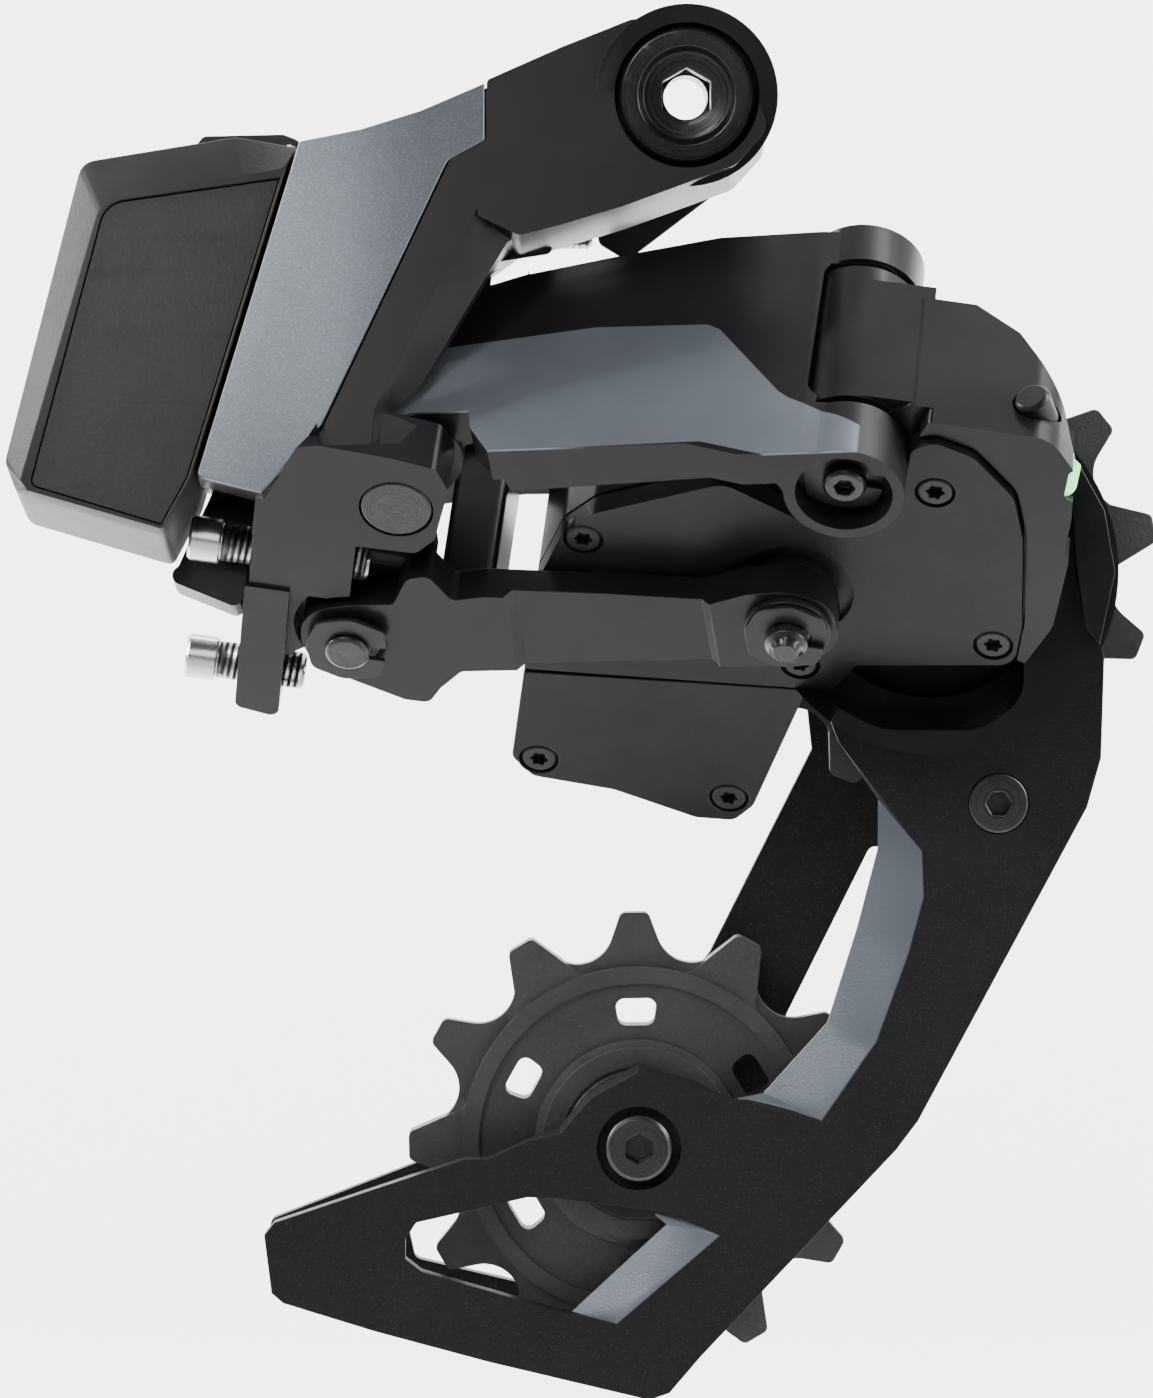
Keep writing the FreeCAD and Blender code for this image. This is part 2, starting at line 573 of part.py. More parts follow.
def inner_link():
    base = at_pin(PIN_C)
    length = SIZES["link_length"]
    body = keep(new_body("inner_link", LINK, base))
    pad(body, [[(-5.2, 0, 3), (-4.6, 4.6, 4), (0.6, 5.2), (5.6, 5.2, 0.8), (7.6, 8.9, 1.2), (10.0, 9.2, 1.0),
                (12.0, 5.5, 1), (15.5, 5.9, 1), (28, 4.7), (38.2, 3.4), (43.3, 5.0, 3), (length, 5.2, 4),
                (length + 5.1, 3.4, 4), (length + 5.1, -4.4, 4), (length - 3, -5.8, 3), (38, -5.6),
                (11.4, -5.2, 1), (8.8, -7.6), (7.2, -9.8, 1.2), (4.6, -9.2, 1.5), (-4.4, -3.6, 4)]],
        "front_plate_back", "front_plate_front")
    pad(body, [[(-5.2, 5.2, 5), (5.2, 5.2, 3), (16, 4.0, 3), (length - 8, 4.6, 3), (length + 5.0, 4.6, 4.5),
                (length + 5.0, -4.8, 4.5), (length - 8, -4.8, 3), (16, -4.0, 3), (5.2, -5.2, 3),
                (-5.2, -5.2, 5)]],
        "rear_plate_back", "rear_plate_front")
    pad(body, [[(9.6, -3.6, 1), (9.6, 3.6, 1), (15.6, 3.6, 1), (15.6, -3.6, 1)]],
        ("rear_plate_front", -0.5), ("front_plate_back", 0.5))
    side = LINK * Rot(V(1, 0, 0), 90)
    # the plate thins between its ends
    cut(body, [[(17, 49), (18.4, 47.2), (38.4, 47.2), (39.8, 49)]], -20, 20, side, base)
    cut(body, [hole(0, 0, "bush_outer"), hole(length, 0, "pin_radius")], 10, 60)
    return body


def inner_link_parts():
    base = at_pin(PIN_C)
    group("bushings_c", [
        tube("bush_c_rear", PINS, base, "bush_radius", "bush_outer", "rear_plate_back", "rear_plate_front"),
        tube("bush_c_front", PINS, base, "bush_radius", "bush_outer", "front_plate_back",
        "front_plate_front")])
    keep(turned("pivot_pin_d", PINS, at_pin(PIN_D), [
        (0, "rear_plate_back"), ("pin_radius", "rear_plate_back"), ("pin_radius", 49.3), (1.9, 49.3),
        (1.9, 50.1), (2.3, 50.1), (2.3, 51.2), (1.8, 51.6), (1.3, 52.4), (0, 52.4)]))
    keep(tube("washer_d", PINS, at_pin(PIN_D), 2.55, 4.6, ("front_plate_front", 0.05), 49.3))
    clip_ring("clip_d", at_pin(PIN_D), 49.4)


# ---------------------------------------------------------------- housing
COVER = [(-8.6, -46.2, 0.6), (-8.6, -33.0, 1.5), (-6.6, -25.2, 3), (-3.6, -21.4, 2), (9.4, -14.4, 3),
         (16.2, -17.4, 4), (19.8, -19.3, 2), (25.4, -19.3, 3), (28.1, -13.0, 2), (28.1, -5.8, 1.4),
         (30.4, -4.3, 1.6), (34.6, -5.6, 3), (39.6, -10.6, 4), (41.4, -16.5, 5), (43.2, -29.5, 4),
         (43.2, -35.2, 2.2), (26.6, -38.6, 1), (24.6, -42.9, 1.6)]
TRAY = [(-8.6, -46.7, 0.6), (-8.6, -60.2, 1.6), (-6.0, -62.8, 1.6), (3.0, -63.2, 2), (12.4, -65.8, 2),
        (16.6, -65.4, 1.6), (18.4, -62.6, 2), (21.9, -43.4, 0.8)]
SCREWS = [(-4.3, -25.5), (31.4, -11.4), (40.6, -32.7), (20.7, -39.7), (-5.6, -60.0), (15.6, -62.0)]


def mesh_distance(first, second):
    """Between the axes of two gears that mesh."""
    return SIZES["gear_module"] * (SIZES[first] + SIZES[second]) / 2


# directions from the output gear to the idler and from there to the motor
IDLER_TURN = 190.0
MOTOR_TURN = 225.0
IDLER = polar(PIN_D, mesh_distance("output_teeth", "idler_small_teeth"), IDLER_TURN)
MOTOR = polar(IDLER, mesh_distance("idler_large_teeth", "motor_teeth"), MOTOR_TURN)


def housing():
    body = keep(new_body("motor_housing", PINS))
    cage_x, cage_z = CAGE
    # round front knuckle along the wheel axis, with a scoop low on its face
    pad(body, [hole(cage_x, cage_z, "knuckle_radius")], "knuckle_back", "knuckle_front", PLAN)
    cut(body, [[(cage_x - 15, cage_z - 8.5), (cage_x + 9.5, cage_z - 8.5), (cage_x + 9.5, cage_z - 13.6, 4),
                (cage_x + 5, cage_z - 17.0, 6), (cage_x - 6, cage_z - 17.0, 8),
                (cage_x - 15, cage_z - 12, 4)]],
        -3, 10, PLAN)
    # gearbox shell and tray along the pins
    pad(body, [[(-8.6, -48.4, 1), (-8.6, -33.0, 1.5), (-6.6, -25.2, 3), (-3.6, -21.4, 2), (9.4, -14.4, 3),
                (16.2, -17.4, 4), (19.8, -19.3, 1), (24.6, -19.3), (24.6, -16), (45.8, -14), (46.6, -29.5, 6),
                (43.6, -37.5, 4), (26.6, -40.4, 1), (24.6, -44.2, 1.6)]], "box_back", "box_front")
    pad(body, [[(-8.6, -44, 0.6), (-8.6, -60.2, 1.6), (-6.0, -62.8, 1.6), (3.0, -63.2, 2), (12.4, -65.8, 2),
                (16.6, -65.4, 1.6), (18.4, -62.6, 2), (21.9, -41)]], "tray_back", "box_front")
    pad(body, [[(24.6, -19), (24.6, -4.4, 2), (27.5, -2.2, 1.5), (42.2, -2.2, 4), (45.2, -6.5, 3),
        (46.4, -20)]],
        "box_back", "box_front")
    # raised rim around the cover's front end
    pad(body, [[(28.7, -4.4), (29.4, -2.2, 0.6), (42.2, -2.2, 4), (45.4, -6.5, 3), (46.7, -20, 6),
        (46.5, -29.5, 5),
                (44.4, -35.5), (43.5, -35.2), (43.5, -29.5, 4), (41.8, -16.3, 5), (39.9, -10.3, 4),
                (34.8, -5.2, 3),
                (30.3, -3.9, 1.2)]], 39.6, 42.2)
    cut(body, [[(33.4, 10), (33.4, 23.4), (38.2, 26.8), (43.6, 35.2), (44.6, 38), (47, 45), (60, 45),
        (60, 10)]],
        -8, 18.5, SIDE)
    cut(body, [[(20, 10), (36, 10), (36, 23.5), (20, 21.5)]], -8, 12, SIDE)
    # barrel for the front pin of the outer link
    pad(body, [[(21.75, -2.4), (29, -2.25), (29, -14), (21.75, -13)]], 21.6, 39.4)
    pad(body, [hole(PIN_B.x, PIN_B.y, 6.2)], 19.6, 39.6)
    # seats of the two covers
    cut(body, [COVER], "box_front", 55)
    cut(body, [TRAY], "box_front", 55)
    # room for the inner link's rear plate, and for the guide pulley and the chain behind
    cut(body, [link_room(PIN_D, 5.8, REST + 180, SWUNG + 180)], 0, ("rear_plate_front", 0.5))
    cut(body, [hole(cage_x, cage_z, 27.0)], -60, "knuckle_back", PLAN)
    # spring chamber, bearing bore, gear space, tray, motor bore and board pocket
    cut(body, [hole(cage_x, cage_z, 14.0)], -9, -1.5, PLAN)
    cut(body, [hole(cage_x, cage_z, 6.2)], -9, 4.4, PLAN)
    cut(body, [[(-6.8, -44.6), (-6.8, -31), (-3.2, -29.2, 1), (-1, -25.4, 2), (3, -21.4, 2), (9, -18.4, 2),
                (14, -20.5, 2), (26.7, -20.5, 6), (26.7, -37.0, 6), (18, -38.6, 2), (9.4, -40.2, 1),
                (8.4, -44.6)]],
        "gear_floor", 50)
    cut(body, [[(-6.8, -47.6), (-6.8, -56.6, 1), (-2.2, -57.4, 1), (-2.2, -61.2, 1), (11.4, -63.6, 1),
                (13.2, -59.4, 1), (17.2, -58.2, 1), (19.6, -46.2, 0.6)]], "gear_floor", 50)
    cut(body, [hole(MOTOR.x, MOTOR.y, 5.8)], 25.0, 50)
    cut(body, [[(33.6, -8.6, 1), (37.6, -11.4, 1), (39.4, -16.5, 1), (39.8, -29.0, 1),
        (33.2, -29.6, 1)]], 36.5, 50)
    cut(body, [hole(PIN_D.x, PIN_D.y, 2.56)], 10, 50)
    cut(body, [hole(PIN_B.x, PIN_B.y, "bush_outer")], 10, 50)
    cut(body, [hole(IDLER.x, IDLER.y, 1.05)], 28.6, 50)
    for x, y in SCREWS:
        cut(body, [hole(x, y, 1.0)], 35.4, 50)
    # seat of the function button and of the lamp lens
    cut(body, [hole(0, 0, 2.1)], -3.6, 6, *button_place())
    cut(body, [[(-1.0, -2.3, 0.9), (1.0, -2.3, 0.9), (1.0, 2.3, 0.9),
        (-1.0, 2.3, 0.9)]], -1.6, 6, *lens_place())
    return body


def brow_outline():
    """A lens-shaped pad along the forward edge of the round knuckle."""
    rim = SIZES["knuckle_radius"]
    places = [(rim - 0.4, 38), (rim - 0.4, 20), (rim - 0.4, 0), (rim - 0.4, -24),
              (rim - 2.6, -20), (rim - 4.6, 2), (rim - 4.0, 20), (rim - 1.6, 36)]
    return [tuple(polar(CAGE, run, turn))[:2] for run, turn in places]


def button_place():
    """On the outboard shoulder of the housing, facing outboard and forward."""
    return SIDE * Rot(V(0, 1, 0), 205), at_pin(V(40.4, -2.5, 37.4))


def lens_place():
    """On the front edge of the housing, facing forward and outboard."""
    return PINS * Rot(V(0, 1, 0), 45), at_pin(V(44.6, -8.4, 40.6))


def housing_parts():
    cage_x, cage_z = CAGE
    base = at_pin(PIN_B)
    cover = slab("gear_cover", PINS, [COVER, hole(PIN_D.x, PIN_D.y, 2.56)], "cover_back", "cover_front")
    cut(cover, [hole(PIN_D.x, PIN_D.y, 6.6), hole(PIN_D.x, PIN_D.y, 4.6)], ("cover_front", -0.9), 50)
    pad(cover, [hole(PIN_D.x, PIN_D.y, 4.6), hole(PIN_D.x, PIN_D.y, 2.56)], ("cover_front", -0.2), 43.5)
    pad(cover, [hole(IDLER.x, IDLER.y, 2.4), hole(IDLER.x, IDLER.y, 1.05)], 38.4, ("cover_back", 0.1))
    tray = slab("electronics_cover", PINS, [TRAY], "cover_back", "cover_front")
    for plate, spots in ((cover, SCREWS[:4]), (tray, SCREWS[4:])):
        for x, y in spots:
            cut(plate, [hole(x, y, 2.15)], ("cover_front", -1.6), 50)
            cut(plate, [hole(x, y, 1.05)], 39, 50)
    screws = []
    for i, (x, y) in enumerate(SCREWS):
        screw = turned("cover_screw_%d" % i, PINS, at_pin(V(x, y, 0)), [
            (0, 35.6), (0.98, 35.6), (0.98, ("cover_front", -1.58)), (2.05, ("cover_front", -1.58)),
            (2.05, ("cover_front", -0.45)), (1.7, ("cover_front", -0.05)), (0, ("cover_front", -0.05))])
        cut(screw, [star(0, 0, 1.15, 0.72)], ("cover_front", -1.2), 50)
        screws.append(screw)
    group("cover_screws", screws)
    gasket = slab("cover_gasket", PINS, [
        [(-8.2, -45.8), (-8.2, -33.0, 1.2), (-6.3, -25.4, 2.6), (-3.4, -21.9, 2), (9.3, -14.9, 3),
        (13.2, -16.4),
         (13.2, -17.4), (9.2, -15.8, 2.4), (-3.0, -22.6, 2), (-5.4, -25.9, 2), (-7.3, -33.2, 1),
         (-7.3, -45.8)]],
        40.02, 40.38)
    cut(gasket, [hole(*SCREWS[0], 1.15)], 39, 42)
    keep(turned("motor_can", PINS, at_pin(MOTOR), [
        (0, 25.1), (5.7, 25.1), (5.7, 30.4), (4.9, 31.0), (1.6, 31.0), (1.6, 26.0), (0, 26.0)]))
    boards = []
    for name, loop, low in (
            ("radio", [(-5.6, -48.6, 0.5), (-5.6, -55.6, 0.5), (-1.0, -56.4, 0.5), (-1.0, -60.2, 0.5),
                       (10.6, -62.2, 0.5), (12.2, -58.4, 0.5), (16.2, -57.2, 0.5), (18.2, -47.4, 0.5)], 36.0),
            ("lamp", [(34.0, -9.6, 0.6), (37.2, -12.0, 0.6), (38.9, -16.8, 0.6), (39.3, -28.4, 0.6),
                      (33.8, -28.9, 0.6)], 37.4)):
        board = new_body(name + "_board", PINS)
        pad(board, [loop], low, low + 0.9)
        boards.append(board)
    group("circuit_boards", boards)
    chips = []
    for i, (x, y, w, h) in enumerate([(1.5, -52.5, 5, 5), (9.5, -52.0, 4, 3), (8.0, -58.0, 3, 2.5)]):
        chip = new_body("chip_%d" % i, PINS)
        pad(chip, [[(x, y), (x + w, y), (x + w, y + h), (x, y + h)]], 37.02, 38.2)
        chips.append(chip)
    group("board_chips", chips)
    slab("knuckle_cap", PLAN, [brow_outline()], ("knuckle_front", 0.02), ("knuckle_front", 0.8))
    lens = keep(new_body("lamp_lens", *lens_place()))
    pad(lens, [[(-0.95, -2.25, 0.88), (0.95, -2.25, 0.88), (0.95, 2.25, 0.88),
        (-0.95, 2.25, 0.88)]], -1.5, 1.1)
    keep(tube("bushings_b", PINS, base, "bush_radius", "bush_outer", 19.6, 39.6))
    keep(tube("cage_bushing", PLAN, V(cage_x, 0, cage_z), 5.05, 6.2, -1.3, 4.2))
    keep(turned("cage_seal", PLAN, V(cage_x, 0, cage_z), [(10.4, -7.9), (13.9, -7.9), (13.9, -6.9),
        (10.4, -6.9)]))


def gear_outline(teeth, phase):
    """A spur gear's outline; phase is the direction in degrees in which one tooth points."""
    module = SIZES["gear_module"]
    pitch = module * teeth / 2
    root, tip = pitch - 1.15 * module, pitch + 0.8 * module
    step = 360.0 / teeth
    corners = []
    for i in range(int(teeth)):
        for radius, part in ((root, -0.22), (tip, -0.10), (tip, 0.10), (root, 0.22)):
            corners.append(tuple(polar((0, 0), radius, phase + (i + part) * step))[:2])
    return corners


def gear(label, centre, teeth, low, high, phase):
    body = keep(new_body(label, PINS, at_pin(centre)))
    pad(body, [gear_outline(teeth, phase)], low, high)
    return body


def drive_gears():
    output = gear("output_gear", PIN_D, SIZES["output_teeth"], 31.6, 34.2, IDLER_TURN)
    pad(output, [hole(0, 0, 4.6)], 31.2, 34.5)
    cut(output, [hole(0, 0, "pin_radius")], 30, 50)
    small, large = SIZES["idler_small_teeth"], SIZES["idler_large_teeth"]
    idler = gear("idler_gear", IDLER, small, 31.4, 34.9, IDLER_TURN - 180 + 180.0 / small)
    pad(idler, [gear_outline(large, MOTOR_TURN)], 34.9, 37.1)
    cut(idler, [hole(0, 0, 1.05)], 30, 50)
    keep(turned("idler_shaft", PINS, at_pin(IDLER), [(0, 28.8), (1.0, 28.8), (1.0, 40.2), (0, 40.2)]))
    teeth = SIZES["motor_teeth"]
    rotor = gear("motor_pinion", MOTOR, teeth, 34.9, 37.3, MOTOR_TURN - 180 + 180.0 / teeth)
    pad(rotor, [hole(0, 0, 1.5)], 26.1, 35.0)


def function_button():
    frame, base = button_place()
    keep(turned("function_button", frame, base, [
        (0, -2.0), (1.9, -2.0), (1.9, 1.3), (1.6, 1.7), (0, 1.7)]))


# ---------------------------------------------------------------- cage
def cage():
    cage_x, cage_z = CAGE
    tension_x, tension_z = TENSION
    rows = [
        (12.5, -58.0), (17.0, -69.8), (21.4, -76.2, 26.4, -82.0), (21.4, -81.6, 26.6, -87.1),
        (19.2, -90.1, 25.0, -93.1), (15.9, -100.7, 21.5, -102.8), (8.9, -108.5, 15.4, -111.4),
        (5.0, -109.2, 8.4, -109.6), (1.5, -107.2, 1.4, -108.0), (-4.8, -105.4, -4.8, -106.0),
        (-10.2, -108.2, -10.0, -108.8), (-13.6, -112.4, -13.4, -112.8), (-17.0, -113.6), (-21.4, -115.6),
        (-24.0, -115.6), (-44.8, -122.6), (-45.9, -124.0), (-45.1, -130.4), (-43.8, -131.5), (-33.8, -134.6),
        (-21.2, -138.0), (-3.6, -142.2), (-1.4, -141.4), (2.0, -137.4), (23.4, -114.6), (25.8, -111.4),
        (44.2, -76.9), (45.7, -71.5), (46.0, -60.6), (44.0, -52.0), (36.0, -42.0), (18.0, -42.0)]
    outer = keep(new_body("outer_cage_plate", PLAN))
    pad(outer, [[row[:2] for row in rows]], "outer_plate_back", "outer_plate_skin")
    loft(outer, "AdditiveLoft", rows, "outer_plate_skin", "outer_plate_front")
    pad(outer, [hole(cage_x, cage_z, 15.4)], "outer_plate_back", "outer_plate_front")
    window = [
        (-30.4, -124.4), (-29.2, -122.6), (-17.0, -119.8), (-14.0, -119.9), (-3.6, -121.6, -1.8, -121.4),
        (-1.8, -123.0, 4.2, -124.0), (-12.2, -132.7, -7.0, -133.8), (-14.2, -132.2), (-28.6, -128.0),
        (-30.4, -126.6)]
    cut(outer, [[row[:2] for row in window]], ("outer_plate_back", -0.5), "outer_plate_skin")
    loft(outer, "SubtractiveLoft", window, "outer_plate_skin", "outer_plate_front")
    cut(outer, [hole(tension_x, tension_z, 4.6)], ("outer_plate_back", 1.0), 0)
    cut(outer, [hole(tension_x, tension_z, "pin_radius"), hole(34.5, -76.5, 2.0)], -14, 0)
    cut(outer, [hole(34.5, -76.5, 3.35)], ("outer_plate_front", -1.2), 0)
    cut(outer, [hole(cage_x, cage_z, 5.0)], -14, 0)
    inner = keep(new_body("inner_cage_plate", PLAN))
    pad(inner, [[(13.0, -58.0), (14.5, -71.4), (3.2, -94.0), (-4.0, -104.0, 4), (-12.0, -110.6, 3),
                 (-21.4, -114.4), (-38.4, -121.0), (-45.8, -123.9, 1), (-45.2, -130.6, 1.5), (-33.8, -134.4),
                 (-3.0, -141.4, 2), (2.0, -137.0), (23.0, -114.2), (43.0, -77.0), (44.2, -60.6),
                 (38.0, -44.0, 3), (18.0, -42.0, 3)],
                [(21.0, -82.2, 1), (11.4, -101.6, 1), (16.0, -104.6, 1), (28.0, -96.0, 1), (29.4, -82.6, 1)],
                [(-30.4, -124.6, 1), (-17.0, -119.9, 1), (-12.6, -122.6, 1), (-10.4, -131.2, 1),
                 (-13.6, -132.0, 1), (-29.6, -128.2, 1)]],
        "inner_plate_back", "inner_plate_front")
    for x, z, radius in ((cage_x, cage_z, "pin_radius"), (tension_x, tension_z, "pin_radius")):
        cut(inner, [hole(x, z, radius)], -30, -10)
    keep(turned("cage_pivot", PLAN, V(cage_x, 0, cage_z), [
        (2.5, -11.5), (5.0, -11.5), (5.0, 4.2), (2.5, 4.2)]))
    cage_spring()
    # the two pulley axles: bush, bolt and dust caps
    bushes, bolts, caps = [], [], []
    for name, x, z, head in (("guide", cage_x, cage_z, 0), ("tension", tension_x, tension_z, 1)):
        bushes.append(tube(name + "_bush", PLAN, V(x, 0, z), "pin_radius", "axle_radius",
                           ("inner_plate_front", 0.02), ("outer_plate_back", -0.02)))
        for low, high in ((-21.9, -20.3), (-13.3, -11.7)):
            caps.append(tube("%s_cap_%d" % (name, -low), PLAN, V(x, 0, z), "axle_radius", 8.2, low, high))
    group("pulley_bushes", bushes)
    group("dust_caps", caps)
    tension_bolt = keep(turned("tension_bolt", PLAN, V(tension_x, 0, tension_z), [
        (0, -24.6), ("pin_radius", -24.6), ("pin_radius", -10.58), (3.6, -10.58), (3.6, -8.8), (3.2, -8.5),
        (0, -8.5)]))
    cut(tension_bolt, [hexagon(0, 0, 3.0, 30)], -10.2, -8)
    guide_bolt = keep(turned("guide_bolt", PLAN, V(cage_x, 0, cage_z), [
        (0, -26.4), (4.4, -26.4), (4.6, -26.2), (4.6, -24.02), ("pin_radius", -24.02), ("pin_radius", -2.0),
        (0, -2.0)]))
    cut(guide_bolt, [hexagon(0, 0, 3.0)], -27, -24.8)
    cage_bolt = keep(turned("cage_bolt", PLAN, V(34.5, 0, -76.5), [
        (0, -13.6), (1.6, -13.6), (2.0, -13.2), (2.0, -10.18), (3.3, -10.18), (3.3, -9.1), (3.1, -8.9),
        (0, -8.9)]))
    cut(cage_bolt, [hexagon(0, 0, 2.5)], -10.0, -8)
    slab("cage_nut", PLAN, [hexagon(0, 0, 6.4, 12), hole(0, 0, 2.0)], -13.2, ("outer_plate_back", -0.02),
               V(34.5, 0, -76.5))


def cage_spring():
    """A flat-wound torsion spring around the cage pivot."""
    helix = doc.addObject("Part::Helix", "spring_path")
    helix.Pitch = 1.5
    helix.Height = 4.4
    helix.Radius = 9.6
    wire = doc.addObject("Part::Circle", "spring_wire")
    wire.Radius = 0.62
    wire.Placement = Place(V(9.6, 0, 0), Rot(V(1, 0, 0), 90))
    coil = keep(doc.addObject("Part::Sweep", "cage_spring"))
    coil.Label = "cage_spring"
    coil.Sections = [wire]
    coil.Spine = (helix, ["Edge1"])
    coil.Solid = True
    coil.Frenet = True
    coil.Placement = Place(V(CAGE[0], 6.6, CAGE[1]), PLAN)


def pulley_loop(every):
    """Tooth outline; every second tooth only when every is 2."""
    tip = SIZES["pulley_tip"]
    step = 360.0 / SIZES["pulley_teeth"]
    loop = []
    for i in range(0, int(SIZES["pulley_teeth"]), every):
        turn = i * step
        loop.append(tuple(polar((0, 0), tip, turn - 3.4))[:2] + (0.8,))
        loop.append(tuple(polar((0, 0), tip, turn + 3.4))[:2] + (0.8,))
        if every == 1:
            loop.append(tuple(polar((0, 0), 17.5, turn + step / 2))[:2] + (4.0,))
        else:
            loop.append(tuple(polar((0, 0), 19.6, turn + 12))[:2] + (2.0,))
            loop.append(tuple(polar((0, 0), 19.6, turn + 2 * step - 12))[:2] + (2.0,))
    return loop


def pulley(label, centre, turn):
    middle = SIZES["pulley_mid"]
    frame = PLAN * Rot(V(0, 0, 1), turn)
    body = keep(new_body(label, frame, V(centre[0], -middle, centre[1])))
    pad(body, [pulley_loop(1)], -1.0, 1.0)
    pad(body, [pulley_loop(2)], -1.7, 1.7)
    pad(body, [hole(0, 0, 19.4)], -2.2, 2.2)
    pad(body, [hole(0, 0, 10.6)], -3.4, 3.4)
    cut(body, [hole(0, 0, 17.6), hole(0, 0, 11.4)], 1.5, 5)
    for i in range(6):
        spot = polar((0, 0), 14.4, 60 * i + 30)
        across = polar((0, 0), 2.4, 60 * i + 120)
        out = polar((0, 0), 1.5, 60 * i + 30)
        ring = [(spot + across * a + out * b) for a, b in ((1, 1), (-1, 1), (-0.8, -1), (0.8, -1))]
        cut(body, [[(point.x, point.y, 1.0) for point in ring]], -5, 5)
    cut(body, [hole(0, 0, 8.5)], 3.0, 8)
    cut(body, [hole(0, 0, 8.5)], -8, -3.0)
    cut(body, [hole(0, 0, "pulley_bore")], -10, 10)
    return body


def pulleys():
    pulley("guide_pulley", CAGE, 9.0)
    pulley("tension_pulley", TENSION, 1.0)


def build():
    hanger_side()
    rear_knuckle()
    knuckle_parts()
    battery()
    battery_latch()
    outer_link()
    outer_link_parts()
    inner_link()
    inner_link_parts()
    housing()
    housing_parts()
    drive_gears()
    function_button()
    cage()
    pulleys()


build()
doc.recompute()

os.makedirs("parts", exist_ok=True)
for item in doc.Objects:
    bad = [state for state in item.State if state in ("Invalid", "Error")]
    if bad:
        print("PROBLEM", item.Name, item.Label, item.State)
for item in nodes:
    shape = item.Shape
    if shape.isNull() or not shape.isValid():
        raise RuntimeError("bad shape: " + item.Label)
    shape.exportStep(os.path.join("parts", item.Label + ".step"))
    print(item.Label, len(shape.Solids), round(shape.Volume, 1))
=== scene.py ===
import bmesh
import bpy
import json
import math
from mathutils import Matrix, Vector


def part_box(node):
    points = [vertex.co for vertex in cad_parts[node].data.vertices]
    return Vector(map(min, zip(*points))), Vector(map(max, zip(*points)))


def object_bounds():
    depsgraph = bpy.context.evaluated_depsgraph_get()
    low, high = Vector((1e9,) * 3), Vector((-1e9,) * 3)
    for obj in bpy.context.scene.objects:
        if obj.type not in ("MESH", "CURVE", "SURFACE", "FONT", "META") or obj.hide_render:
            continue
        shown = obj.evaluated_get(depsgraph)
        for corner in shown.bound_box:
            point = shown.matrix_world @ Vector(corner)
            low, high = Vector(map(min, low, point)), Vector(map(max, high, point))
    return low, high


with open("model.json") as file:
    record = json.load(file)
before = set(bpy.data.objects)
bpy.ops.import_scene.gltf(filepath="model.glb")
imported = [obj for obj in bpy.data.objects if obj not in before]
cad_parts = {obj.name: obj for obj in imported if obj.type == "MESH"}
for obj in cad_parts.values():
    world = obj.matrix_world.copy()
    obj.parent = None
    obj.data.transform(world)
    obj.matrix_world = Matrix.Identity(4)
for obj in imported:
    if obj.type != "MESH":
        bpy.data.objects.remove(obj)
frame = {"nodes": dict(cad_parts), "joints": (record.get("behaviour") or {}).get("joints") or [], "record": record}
cad_low, cad_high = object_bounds()
nodes = frame["nodes"]
joints = {joint["name"]: joint for joint in frame["joints"]}
MM = 0.001
PAINT_BLUR = 0.08 * MM      # how softly a painted edge fades
PATCHES = (0.35, 0.68)      # noise values between which one soft patch of colour turns into the other
USUAL = (0.3, 0.7)          # where most values of a noise lie


# ---------------------------------------------------------------- frames of the part
def turn(degrees, axis):
    return Matrix.Rotation(math.radians(degrees), 4, axis)


PLAN = turn(90, "X")
SKIN = turn(78, "X")
PINS = turn(8, "Y") @ turn(133, "X")
LINK = PINS @ turn(13.83, "Z")


def pivot(name):
    """A point on a joint's axis."""
    return Vector(joints[name]["pos_m"])


def middle(node):
    low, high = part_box(node)
    return (low + high) / 2


def frame_at(rotation, point):
    return Matrix.Translation(point) @ rotation


def screw_places(node, axes, count):
    """(frame at the tip, whole length) of each of a node's screws.

    The screws lie along the Z axis of axes, side by side along its Y axis.
    """
    points = [axes.inverted() @ vertex.co for vertex in nodes[node].data.vertices]
    low = min(point.y for point in points)
    step = (max(point.y for point in points) - low) / count
    places = []
    for i in range(count):
        mine = [point for point in points if low + i * step <= point.y <= low + (i + 1) * step]
        centre = [(min(point[k] for point in mine) + max(point[k] for point in mine)) / 2 for k in (0, 1)]
        tip = max(point.z for point in mine)
        length = tip - min(point.z for point in mine)
        places.append((frame_at(axes, axes @ Vector((*centre, tip))), length))
    return places


